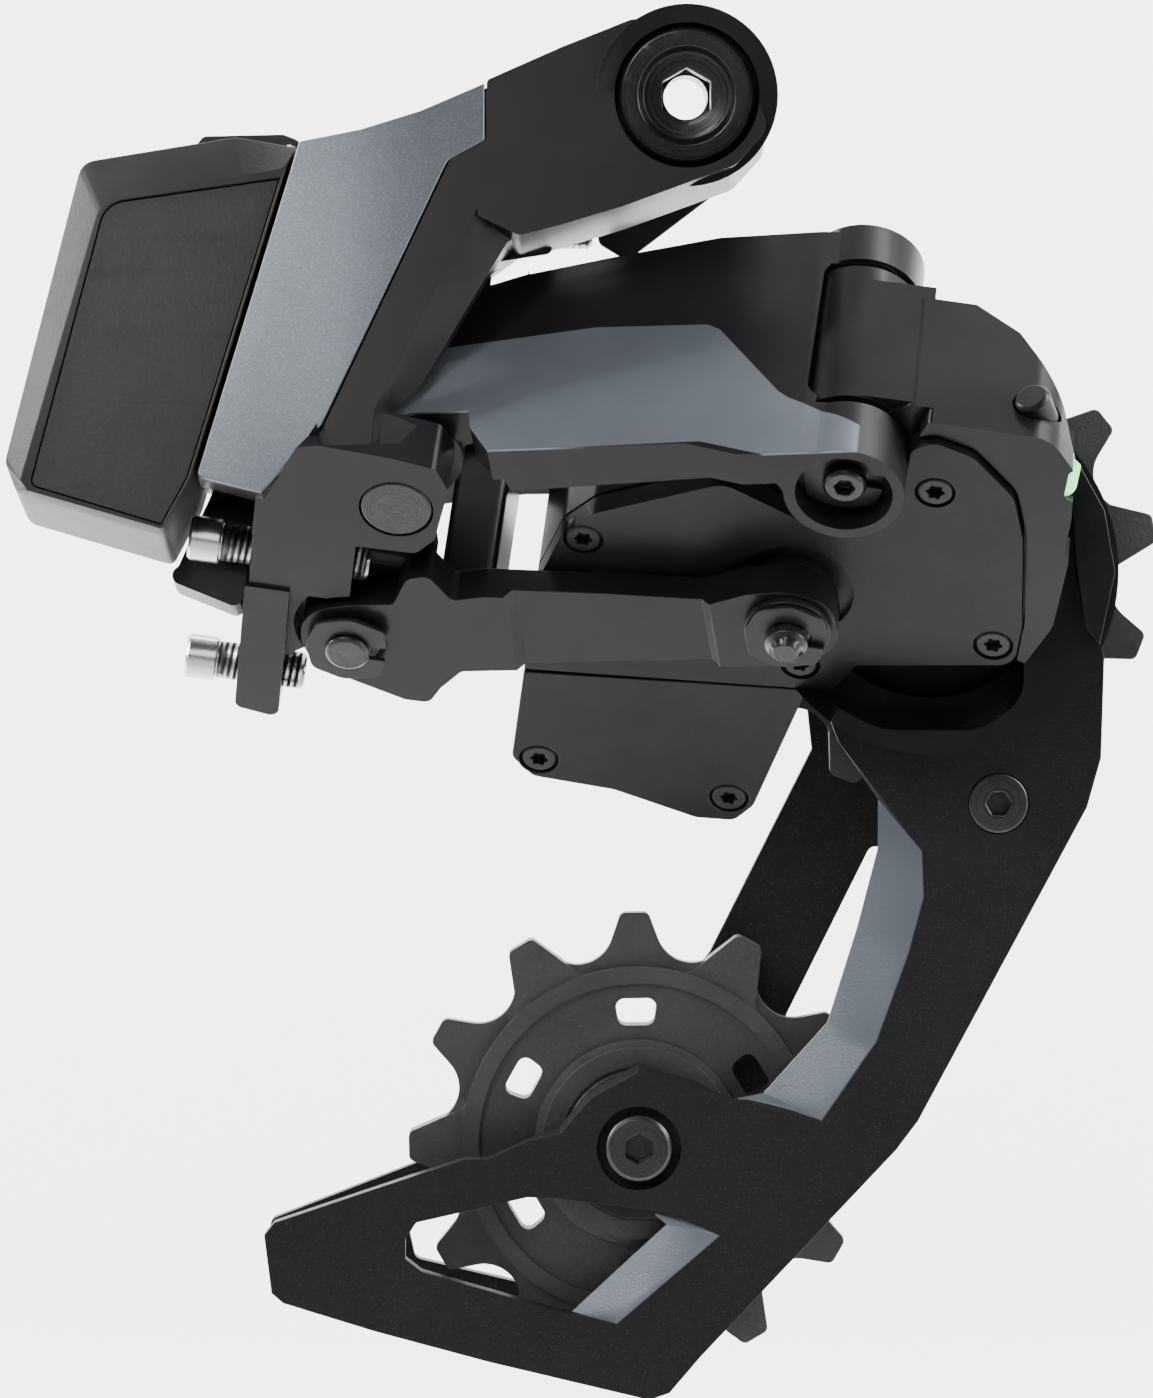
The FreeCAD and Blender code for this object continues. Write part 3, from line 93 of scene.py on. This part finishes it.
# ---------------------------------------------------------------- node helpers
class Graph:
    """A material's node graph, built by calls that return output sockets."""

    def __init__(self, name):
        self.material = bpy.data.materials.new(name)
        self.material.use_nodes = True
        self.tree = self.material.node_tree
        self.shader = self.tree.nodes["Principled BSDF"]
        self.object_place = self.add("ShaderNodeTexCoord").outputs["Object"]

    def add(self, kind, inputs=None, **settings):
        node = self.tree.nodes.new(kind)
        for key, value in settings.items():
            setattr(node, key, value)
        for key, value in (inputs or {}).items():
            self.put(node.inputs[key], value)
        return node

    def put(self, socket, value):
        if isinstance(value, bpy.types.NodeSocket):
            self.tree.links.new(value, socket)
        else:
            socket.default_value = value

    def math(self, operation, *values, clamp=False):
        node = self.add("ShaderNodeMath", operation=operation, use_clamp=clamp)
        for socket, value in zip(node.inputs, values):
            self.put(socket, value)
        return node.outputs[0]

    def noise(self, scale, detail=3.0, roughness=0.5, place=None):
        node = self.add("ShaderNodeTexNoise", {
            "Vector": place or self.object_place, "Scale": scale, "Detail": detail, "Roughness": roughness})
        return node.outputs["Fac"]

    def steps(self, value, low, high, low_out=0.0, high_out=1.0):
        """Maps low..high to low_out..high_out, held at the ends."""
        node = self.add("ShaderNodeMapRange", {
            "Value": value, "From Min": low, "From Max": high, "To Min": low_out, "To Max": high_out})
        return node.outputs[0]

    def mix(self, share, first, second):
        node = self.add("ShaderNodeMix", data_type="RGBA")
        self.put(node.inputs[0], share)
        self.put(node.inputs[6], first)
        self.put(node.inputs[7], second)
        return node.outputs[2]

    def local(self, place):
        """Coordinates in a frame of the part, in metres."""
        node = self.add("ShaderNodeMapping", {
            "Vector": self.object_place, "Location": place.to_translation(),
            "Rotation": place.to_euler()}, vector_type="TEXTURE")
        return node.outputs[0]

    def parts(self, vector):
        return self.add("ShaderNodeSeparateXYZ", {0: vector}).outputs

    def band(self, value, low, high):
        """1 where value lies between low and high, which may be sockets, 0 outside."""
        above = self.math("SUBTRACT", value, low)
        below = self.math("SUBTRACT", high, value)
        return self.steps(self.math("MINIMUM", above, below), 0.0, PAINT_BLUR)

    def course(self, along, points):
        """A value that follows straight runs between (along, value) points in millimetres."""
        start, end = points[0][0], points[-1][0]
        low = min(value for _, value in points)
        high = max(value for _, value in points)
        ramp = self.add("ShaderNodeValToRGB", {"Fac": self.steps(along, start * MM, end * MM)})
        stops = ramp.color_ramp.elements
        for index, (place, _) in enumerate(points):
            spot = (place - start) / (end - start)
            stop = stops[index] if index < 2 else stops.new(spot)
            stop.position = spot
        for stop, (_, value) in zip(sorted(stops, key=lambda each: each.position), points):
            shade = (value - low) / (high - low)
            stop.color = (shade, shade, shade, 1.0)
        return self.steps(ramp.outputs["Color"], 0.0, 1.0, low * MM, high * MM)

    def all_of(self, *shares):
        result = shares[0]
        for share in shares[1:]:
            result = self.math("MULTIPLY", result, share)
        return result

    def bump(self, height, distance, under=None):
        node = self.add("ShaderNodeBump", {"Height": height, "Distance": distance, "Strength": 1.0})
        if under is not None:
            self.put(node.inputs["Normal"], under)
        return node.outputs[0]

    def reach(self, x, y):
        """The distance from an axis, from the two coordinates across it."""
        return self.math("SQRT", self.math("ADD", self.math("MULTIPLY", x, x), self.math("MULTIPLY", y, y)))

    def rings(self, place, scale):
        """Noise that depends only on the distance from a frame's Z axis."""
        x, y, _ = self.parts(self.local(place))
        node = self.add("ShaderNodeTexNoise", {"W": self.reach(x, y), "Scale": scale, "Detail": 4.0},
                        noise_dimensions="1D")
        return node.outputs["Fac"]


def rgb(red, green=None, blue=None):
    if green is None:
        green = blue = red
    return (red, green, blue, 1.0)


def surface(name, base, tint, rough=(0.3, 0.4), metallic=0.0, coat=0.0, coat_rough=0.08,
            grain=(1800, 0.00002), blotch=70, speck=None, flake=None, wear=0.0, rings=None, specular=0.5,
            crown=None):
    """A procedural finish.

    base and tint are the two colours that large soft patches mix, blotch is the patches' scale; rough is the
    roughness range; grain is (scale, depth in metres) of the fine surface; speck is (scale, share, colour) of
    small paler grains;
    flake is (scale, amount) of metallic glints; wear rubs the sheen in faint streaks; rings is
    (frame, scale, depth) of turning marks around an axis; crown is (frame, radius in x, radius in y) and
    makes a flat face catch the light as if it were gently domed.
    """
    graph = Graph(name)
    patch = graph.noise(blotch, 4.0, 0.6)
    colour = graph.mix(graph.steps(patch, *PATCHES), base, tint)
    fine = graph.noise(grain[0], 3.0, 0.6)
    uneven = graph.math("ADD", graph.math("MULTIPLY", patch, 0.6), graph.math("MULTIPLY", fine, 0.4))
    rough_value = graph.steps(uneven, *USUAL, *rough)
    if speck:
        scale, share, shade = speck
        spots = graph.steps(graph.noise(scale, 1.0, 0.4), 1.0 - share, 1.0 - share + 0.05)
        colour = graph.mix(spots, colour, shade)
    if flake:
        cells = graph.add("ShaderNodeTexVoronoi", {"Vector": graph.object_place, "Scale": flake[0]})
        glint = graph.parts(cells.outputs["Color"])[0]
        colour = graph.mix(graph.steps(glint, 0.55, 1.0, 0.0, flake[1]), colour, rgb(0.75, 0.8, 0.88))
    if wear:
        streak = graph.add("ShaderNodeMapping", {"Vector": graph.object_place, "Rotation": (0.3, 0.5, 0.9),
                                                 "Scale": (30.0, 700.0, 700.0)}).outputs[0]
        lines = graph.noise(1.0, 1.0, 0.4, place=streak)
        rubbed = graph.steps(lines, 0.62, 0.78, 0.0, wear)
        rough_value = graph.math("ADD", rough_value, rubbed, clamp=True)
    normal = graph.bump(fine, grain[1])
    if crown:
        x, y, _ = graph.parts(graph.local(crown[0]))
        dome = graph.math("ADD", graph.math("DIVIDE", graph.math("MULTIPLY", x, x), -2 * crown[1]),
                          graph.math("DIVIDE", graph.math("MULTIPLY", y, y), -2 * crown[2]))
        normal = graph.bump(dome, 1.0, under=normal)
    if rings:
        marks = graph.rings(rings[0], rings[1])
        normal = graph.bump(marks, rings[2], under=normal)
        rough_value = graph.math("ADD", rough_value, graph.steps(marks, 0.35, 0.7, -0.06, 0.12), clamp=True)
    shader = graph.shader
    graph.put(shader.inputs["Base Color"], colour)
    graph.put(shader.inputs["Roughness"], rough_value)
    graph.put(shader.inputs["Normal"], normal)
    shader.inputs["Metallic"].default_value = metallic
    shader.inputs["Specular IOR Level"].default_value = specular
    shader.inputs["Coat Weight"].default_value = coat
    shader.inputs["Coat Roughness"].default_value = coat_rough
    graph.colour, graph.rough = colour, rough_value
    return graph


# ---------------------------------------------------------------- finishes
FASCIA_MIDDLE = frame_at(SKIN, middle("knuckle_fascia"))
BATTERY_MIDDLE = frame_at(SKIN, middle("battery_case"))

# finishes that are used more than once, plain and with something laid over them
ANODISED = {"base": rgb(0.007, 0.007, 0.0075), "tint": rgb(0.011, 0.011, 0.012), "rough": (0.28, 0.32),
            "coat": 0.06, "coat_rough": 0.10, "grain": (2600, 0.000004), "specular": 0.2}
CAGE_FINISH = {"base": rgb(0.0045, 0.0045, 0.005), "tint": rgb(0.007, 0.007, 0.0075), "rough": (0.44, 0.56),
               "grain": (3800, 0.00006), "speck": (5200, 0.36, rgb(0.022, 0.022, 0.023)), "specular": 0.2}
STEEL = {"base": rgb(0.56, 0.56, 0.57), "tint": rgb(0.68, 0.68, 0.69), "rough": (0.22, 0.34),
         "metallic": 1.0, "grain": (1500, 0.000006)}

black = surface("black_anodised", **ANODISED)
satin = surface("black_satin", rgb(0.008, 0.008, 0.0085), rgb(0.013, 0.013, 0.014), rough=(0.28, 0.42),
                grain=(2200, 0.000008), specular=0.3)
GREY = (rgb(0.120, 0.136, 0.155), rgb(0.150, 0.168, 0.190))
GREY_ROUGH = (0.30, 0.40)
GREY_METALLIC = 0.55
GREY_GRAIN = 6000
GREY_BLOTCH = 45
grey = surface("grey_paint", *GREY, rough=GREY_ROUGH, metallic=GREY_METALLIC, coat=0.12, coat_rough=0.2,
               grain=(GREY_GRAIN, 0.000008), flake=(9000, 0.10), blotch=GREY_BLOTCH,
               crown=(FASCIA_MIDDLE, 0.07, 0.22))
shell = surface("battery_shell", rgb(0.016, 0.0165, 0.018), rgb(0.022, 0.023, 0.025), rough=(0.40, 0.50),
                grain=(3200, 0.00003), blotch=60, wear=0.04, crown=(BATTERY_MIDDLE, 0.2, 0.2), specular=0.22)
panel = surface("battery_panel", rgb(0.011, 0.011, 0.012), rgb(0.017, 0.017, 0.018), rough=(0.42, 0.54),
                grain=(2600, 0.00004), blotch=220, wear=0.10, crown=(BATTERY_MIDDLE, 0.3, 0.3), specular=0.4)
cage_black = surface("cage_black", **CAGE_FINISH)
cover = surface("cover_black", rgb(0.007, 0.007, 0.0075), rgb(0.012, 0.012, 0.013), rough=(0.30, 0.44),
                grain=(3000, 0.00002), wear=0.05, blotch=110, specular=0.2)
moulded = surface("pulley_plastic", rgb(0.020, 0.0205, 0.022), rgb(0.030, 0.031, 0.033), rough=(0.40, 0.54),
                  grain=(2400, 0.00006), blotch=120, speck=(5200, 0.34, rgb(0.045, 0.045, 0.048)))
bright = surface("bright_steel", **STEEL)
gear_metal = surface("gear_steel", rgb(0.42, 0.42, 0.43), rgb(0.5, 0.5, 0.51), rough=(0.28, 0.4),
                     metallic=1.0)
brass = surface("brass", rgb(0.70, 0.47, 0.18), rgb(0.78, 0.55, 0.24), rough=(0.22, 0.36), metallic=1.0)
polymer = surface("bushing", rgb(0.09, 0.09, 0.085), rgb(0.12, 0.12, 0.11), rough=(0.5, 0.6))
rubber = surface("rubber", rgb(0.010, 0.010, 0.010), rgb(0.018, 0.018, 0.018), rough=(0.55, 0.7))
board = surface("board", rgb(0.01, 0.06, 0.03), rgb(0.015, 0.08, 0.04), rough=(0.35, 0.5))
chip = surface("chip", rgb(0.015, 0.015, 0.016), rgb(0.02, 0.02, 0.02), rough=(0.5, 0.6))
cell = surface("cell", rgb(0.2, 0.22, 0.26), rgb(0.26, 0.28, 0.32), rough=(0.3, 0.45), metallic=0.6)
lens = surface("lamp_lens", rgb(0.05, 0.60, 0.10), rgb(0.30, 0.95, 0.35), rough=(0.15, 0.25),
               grain=(900, 0.00002))
lens.put(lens.shader.inputs["Emission Color"], lens.colour)
lens.shader.inputs["Emission Strength"].default_value = 2.2


def painted(graph, mask):
    """Lays grey paint over part of a black finish."""
    paint = graph.mix(graph.steps(graph.noise(GREY_BLOTCH, 4.0, 0.6), *PATCHES), *GREY)
    graph.put(graph.shader.inputs["Base Color"], graph.mix(mask, graph.colour, paint))
    graph.put(graph.shader.inputs["Metallic"], graph.math("MULTIPLY", mask, GREY_METALLIC))
    satin_paint = graph.steps(graph.noise(GREY_GRAIN, 2.0, 0.5), *USUAL, *GREY_ROUGH)
    keep = graph.math("MULTIPLY", graph.rough, graph.math("SUBTRACT", 1.0, mask))
    laid = graph.math("MULTIPLY", mask, satin_paint)
    graph.put(graph.shader.inputs["Roughness"], graph.math("ADD", keep, laid))


# the outer link's outboard face carries a grey band between two bent edges, given in millimetres as
# (distance along the link from pivot A, height along the pins)
LINK_A = frame_at(LINK, pivot("outer_link_swing"))
PIN_DEPTH = (PINS.inverted() @ pivot("outer_link_swing")).z
FACE_OFF = (5.9, 6.0)       # the painted face lies at least this far off the pivots' plane
BAND_TOP = [(1.9, 30.4), (20.1, 27.7), (32.1, 27.9), (33.5, 28.7), (40.5, 38.6), (41.6, 39.6), (50.7, 44.7),
            (53.2, 48.7), (53.5, 53.3)]
BAND_FOOT = [(-0.8, 41.2), (0.9, 40.5), (5.5, 40.9), (9.5, 46.2), (32.7, 45.8), (39.2, 48.0), (49.9, 49.8),
             (53.5, 49.9)]
link_black = surface("link_black", **ANODISED, crown=(LINK_A, 0.4, 0.4))
along, off, depth = link_black.parts(link_black.local(LINK_A))
depth = link_black.math("ADD", depth, PIN_DEPTH)
painted(link_black, link_black.all_of(
    link_black.steps(off, FACE_OFF[0] * MM, FACE_OFF[1] * MM),
    link_black.band(depth, link_black.course(along, BAND_TOP), link_black.course(along, BAND_FOOT))))

# the outer cage plate's two wide slanted edges are grey: each has its reach in X and in Z, in millimetres
LONG_EDGE = ((6.0, 27.4), (-112.5, -76.0))
WINDOW_EDGE = ((-13.2, 4.4), (-134.6, -121.2))
BELOW_FACE = (9.08, 9.14)   # a slanted edge lies inboard of this Y, and the plate's outboard face doesn't
SLANT = (-0.5, -0.6)        # and faces outboard by more than this, which a square edge doesn't
edge_black = surface("cage_edges", **CAGE_FINISH)
edge_x, edge_y, edge_z = edge_black.parts(edge_black.object_place)
facing = edge_black.parts(edge_black.add("ShaderNodeTexCoord").outputs["Normal"])[1]
slanted = [edge_black.all_of(*(edge_black.band(value, low * MM, high * MM)
                               for value, (low, high) in zip((edge_x, edge_z), reach)))
           for reach in (LONG_EDGE, WINDOW_EDGE)]
painted(edge_black, edge_black.all_of(
    edge_black.steps(edge_y, BELOW_FACE[0] * MM, BELOW_FACE[1] * MM), edge_black.steps(facing, *SLANT),
    edge_black.math("MAXIMUM", *slanted)))


SCREW_PITCH = 0.7 * MM
SCREW_SHANK = 2 * MM
THREAD_DEPTH = 0.9 * MM
PAST_TIP = 2 * MM


def threaded(name, screws, head):
    """Bright steel with a screw thread on the shanks, which start at the depth of the head, and painted shade
    darkening the thread's grooves in the base colour.
    """
    graph = surface(name, **STEEL)
    total = 0.0
    for place, length in screws:
        x, y, z = graph.parts(graph.local(place))
        turns = graph.math("DIVIDE", graph.math("ARCTAN2", y, x), 2 * math.pi)
        ridge = graph.math("PINGPONG", graph.math("ADD", graph.math("DIVIDE", z, SCREW_PITCH), turns), 0.5)
        within = graph.steps(graph.reach(x, y), SCREW_SHANK + 0.12 * MM, SCREW_SHANK + 0.06 * MM)
        on_shank = graph.all_of(within, graph.band(z, head - length, PAST_TIP))
        total = graph.math("ADD", total, graph.math("MULTIPLY", ridge, on_shank))
    graph.put(graph.shader.inputs["Normal"], graph.bump(total, THREAD_DEPTH))
    # painted shade: the base colour is darkened to a quarter in the thread's grooves
    painted_groove_shade = graph.mix(graph.steps(total, 0.02, 0.25), rgb(0.25), rgb(1.0))
    painted_shade_mix = graph.add("ShaderNodeMix", data_type="RGBA", blend_type="MULTIPLY")
    graph.put(painted_shade_mix.inputs[0], graph.steps(total, 0.0, 0.01))
    graph.put(painted_shade_mix.inputs[6], graph.colour)
    graph.put(painted_shade_mix.inputs[7], painted_groove_shade)
    graph.put(graph.shader.inputs["Base Color"], painted_shade_mix.outputs[2])
    return graph


def turned_steel(name, place, base=0.02):
    """Dark steel with fine turning marks around a frame's Z axis."""
    return surface(name, rgb(base), rgb(base * 1.6), rough=(0.2, 0.34), metallic=0.55, coat=0.2,
                   coat_rough=0.15, grain=(1800, 0.000004), rings=(place, 3400, 0.000009))


bolt_steel = turned_steel("bolt_steel", frame_at(PLAN, Vector()))
cap_steel = turned_steel("cap_steel", frame_at(PINS, pivot("outer_link_swing")), 0.014)
axle_steel = turned_steel("axle_steel", frame_at(PLAN, pivot("tension_pulley_spin")))
guide_steel = turned_steel("guide_steel", frame_at(PLAN, pivot("guide_pulley_spin")))
cage_steel = turned_steel("cage_steel", frame_at(PLAN, middle("cage_bolt")), 0.03)
pin_b_steel = turned_steel("pin_b_steel", frame_at(PINS, middle("pivot_pin_b")))
pin_c_steel = turned_steel("pin_c_steel", frame_at(PINS, pivot("inner_link_swing")))
pin_d_steel = turned_steel("pin_d_steel", frame_at(PINS, middle("pivot_pin_d")))

limit_steel = threaded("limit_thread", screw_places("limit_screws", PINS @ turn(90, "Y"), 2), 3.5 * MM)
height_steel = threaded("height_thread", screw_places("b_adjust_screw", turn(90, "Y"), 1), 0.7 * MM)

BY_SLOT = {
    "black_anodised": black, "grey_paint": grey, "battery_shell": shell, "battery_panel": panel,
    "cage_black": cage_black, "cover_black": cover, "pulley_plastic": moulded, "bright_steel": bright,
    "black_steel": satin, "brass": brass, "bushing": polymer, "rubber": rubber, "gear_steel": gear_metal,
    "board": board, "chip": chip, "cell_wrap": cell, "lens": lens}
BY_NODE = {
    "b_bolt": bolt_steel, "pivot_cap_a": cap_steel, "tension_bolt": axle_steel, "guide_bolt": guide_steel,
    "outer_link": link_black, "outer_cage_plate": edge_black, "limit_screws": limit_steel,
    "b_adjust_screw": height_steel, "cage_bolt": cage_steel, "pivot_pin_b": pin_b_steel,
    "pivot_pin_c": pin_c_steel, "pivot_pin_d": pin_d_steel}
SLOTS = {part["node"]: part["material_slot"] for part in frame["record"]["subparts"]}

# how wide each node's edges are rounded, in millimetres
FINE_EDGE = 0.12
EDGE = {"battery_case": 0.45, "b_knuckle": 0.35, "outer_link": 0.2, "inner_link": 0.35, "motor_housing": 0.25,
        "outer_cage_plate": 0.18, "inner_cage_plate": 0.2, "guide_pulley": 0.35, "tension_pulley": 0.35,
        "gear_cover": 0.35, "electronics_cover": 0.35, "skid_plate": 0.4, "knuckle_fascia": 0.15,
        "hanger_washer": 0.3, "b_bolt": 0.12, "limit_screws": 0.15, "battery_latch": 0.3}

# these have ring-shaped faces, which would not survive as single polygons
RINGED = {"b_bolt", "guide_pulley", "tension_pulley", "idler_gear"}


def soften(item, width):
    """Rounds a CAD node's edges with modifiers; its own mesh stays as it is."""
    weld = item.modifiers.new("join", "WELD")
    weld.merge_threshold = 1e-6
    if item.name not in RINGED:
        flat = item.modifiers.new("flatten", "DECIMATE")
        flat.decimate_type = "DISSOLVE"
        flat.angle_limit = math.radians(0.6)
    bevel = item.modifiers.new("round", "BEVEL")
    bevel.width = width * MM
    bevel.segments = 3
    bevel.limit_method = "ANGLE"
    bevel.angle_limit = math.radians(28)
    bevel.use_clamp_overlap = True
    bevel.miter_outer = "MITER_ARC"
    shade = item.modifiers.new("shade", "WEIGHTED_NORMAL")
    shade.keep_sharp = False
    shade.weight = 80


for name, item in nodes.items():
    finish = BY_NODE.get(name) or BY_SLOT[SLOTS[name]]
    item.data.materials.clear()
    item.data.materials.append(finish.material)
    soften(item, EDGE.get(name, FINE_EDGE))


# ---------------------------------------------------------------- set and light
FLOOR_DROP = 0.06           # how far the floor lies below the part at rest
FLOOR_FRONT = -1.6
SWEEP = 0.5                 # where the floor starts to curve up, and the curve's radius
SWEEP_STEPS = 12
WALL_TOP = 2.2
HALF_WIDTH = 2.2
BACKDROP_SHADE = 0.82


def plain(name, shade):
    """A matt paint that is clear from behind, so that a camera behind the wall still sees the part."""
    graph = Graph(name)
    behind = graph.add("ShaderNodeNewGeometry", {}).outputs["Backfacing"]
    graph.put(graph.shader.inputs["Alpha"], graph.math("SUBTRACT", 1.0, behind))
    colour = graph.mix(graph.noise(3.0), rgb(shade), rgb(shade * 0.985))
    graph.put(graph.shader.inputs["Base Color"], colour)
    graph.put(graph.shader.inputs["Roughness"], graph.steps(graph.noise(40.0), *USUAL, 0.75, 0.85))
    return graph.material


def backdrop():
    """A floor that curves up into a wall behind the part."""
    floor_z = cad_low.z - FLOOR_DROP
    mesh = bmesh.new()
    profile = [(FLOOR_FRONT, 0.0), (SWEEP, 0.0)]
    for i in range(1, SWEEP_STEPS + 1):
        angle = math.radians(90 * i / SWEEP_STEPS)
        profile.append((SWEEP + SWEEP * math.sin(angle), SWEEP - SWEEP * math.cos(angle)))
    profile.append((2 * SWEEP, WALL_TOP))
    rows = []
    for y, z in profile:
        rows.append([mesh.verts.new((x, y, floor_z + z)) for x in (-HALF_WIDTH, HALF_WIDTH)])
    for first, second in zip(rows, rows[1:]):
        mesh.faces.new((first[0], first[1], second[1], second[0])).smooth = True
    data = bpy.data.meshes.new("backdrop")
    mesh.to_mesh(data)
    item = bpy.data.objects.new("backdrop", data)
    bpy.context.scene.collection.objects.link(item)
    data.materials.append(plain("backdrop", BACKDROP_SHADE))


def lamp(name, place, target, size, power):
    """A white panel light that faces its target; size in metres, power in watts."""
    data = bpy.data.lights.new(name, "AREA")
    data.shape = "RECTANGLE"
    data.size, data.size_y = size
    data.energy = power
    item = bpy.data.objects.new(name, data)
    bpy.context.scene.collection.objects.link(item)
    item.location = place
    item.rotation_euler = (Vector(target) - Vector(place)).to_track_quat("-Z", "Y").to_euler()


backdrop()
heart = (cad_low + cad_high) / 2
# name, place from the middle of the part, target, size, power
LAMPS = [
    ("key", (-0.34, -0.50, 0.40), heart + Vector((-0.02, 0, 0.02)), (0.10, 0.34), 2.6),
    ("rim", (0.06, 0.16, 0.46), heart, (0.50, 0.08), 1.6),
    ("right_strip", (0.55, -0.28, 0.10), heart, (0.06, 0.60), 2.6),
    ("left_strip", (-0.60, -0.12, 0.06), heart, (0.06, 0.60), 0.7),
    ("sheen", (-0.10, -0.78, 0.36), middle("knuckle_fascia"), (0.05, 0.42), 1.1)]
for name, offset, target, size, power in LAMPS:
    lamp(name, heart + Vector(offset), target, size, power)

# two large lamps that light the wall and not the floor below the part, which its black faces mirror
for side in (-1, 1):
    place = heart + Vector((0.55 * side, 0.04, 0.34))
    lamp("wall_%d" % side, place, place + Vector((-0.25 * side, 1.0, -0.12)), (0.5, 0.5), 38)

world = bpy.data.worlds.new("studio")
bpy.context.scene.world = world
world.use_nodes = True
world.node_tree.nodes["Background"].inputs["Color"].default_value = rgb(0.85, 0.87, 0.9)
world.node_tree.nodes["Background"].inputs["Strength"].default_value = 0.05

CAMERA_PLACE = (-0.01163, -0.78236, -0.02083)
CAMERA_DIP = 3.2            # degrees that it looks down
LENS_MM = 186.9
camera = bpy.data.cameras.new("camera")
camera.lens = LENS_MM
camera.sensor_width = 36.0
camera.clip_start = 0.05
viewer = bpy.data.objects.new("camera", camera)
bpy.context.scene.collection.objects.link(viewer)
viewer.location = CAMERA_PLACE
viewer.rotation_euler = (math.radians(90 - CAMERA_DIP), 0, 0)
bpy.context.scene.camera = viewer
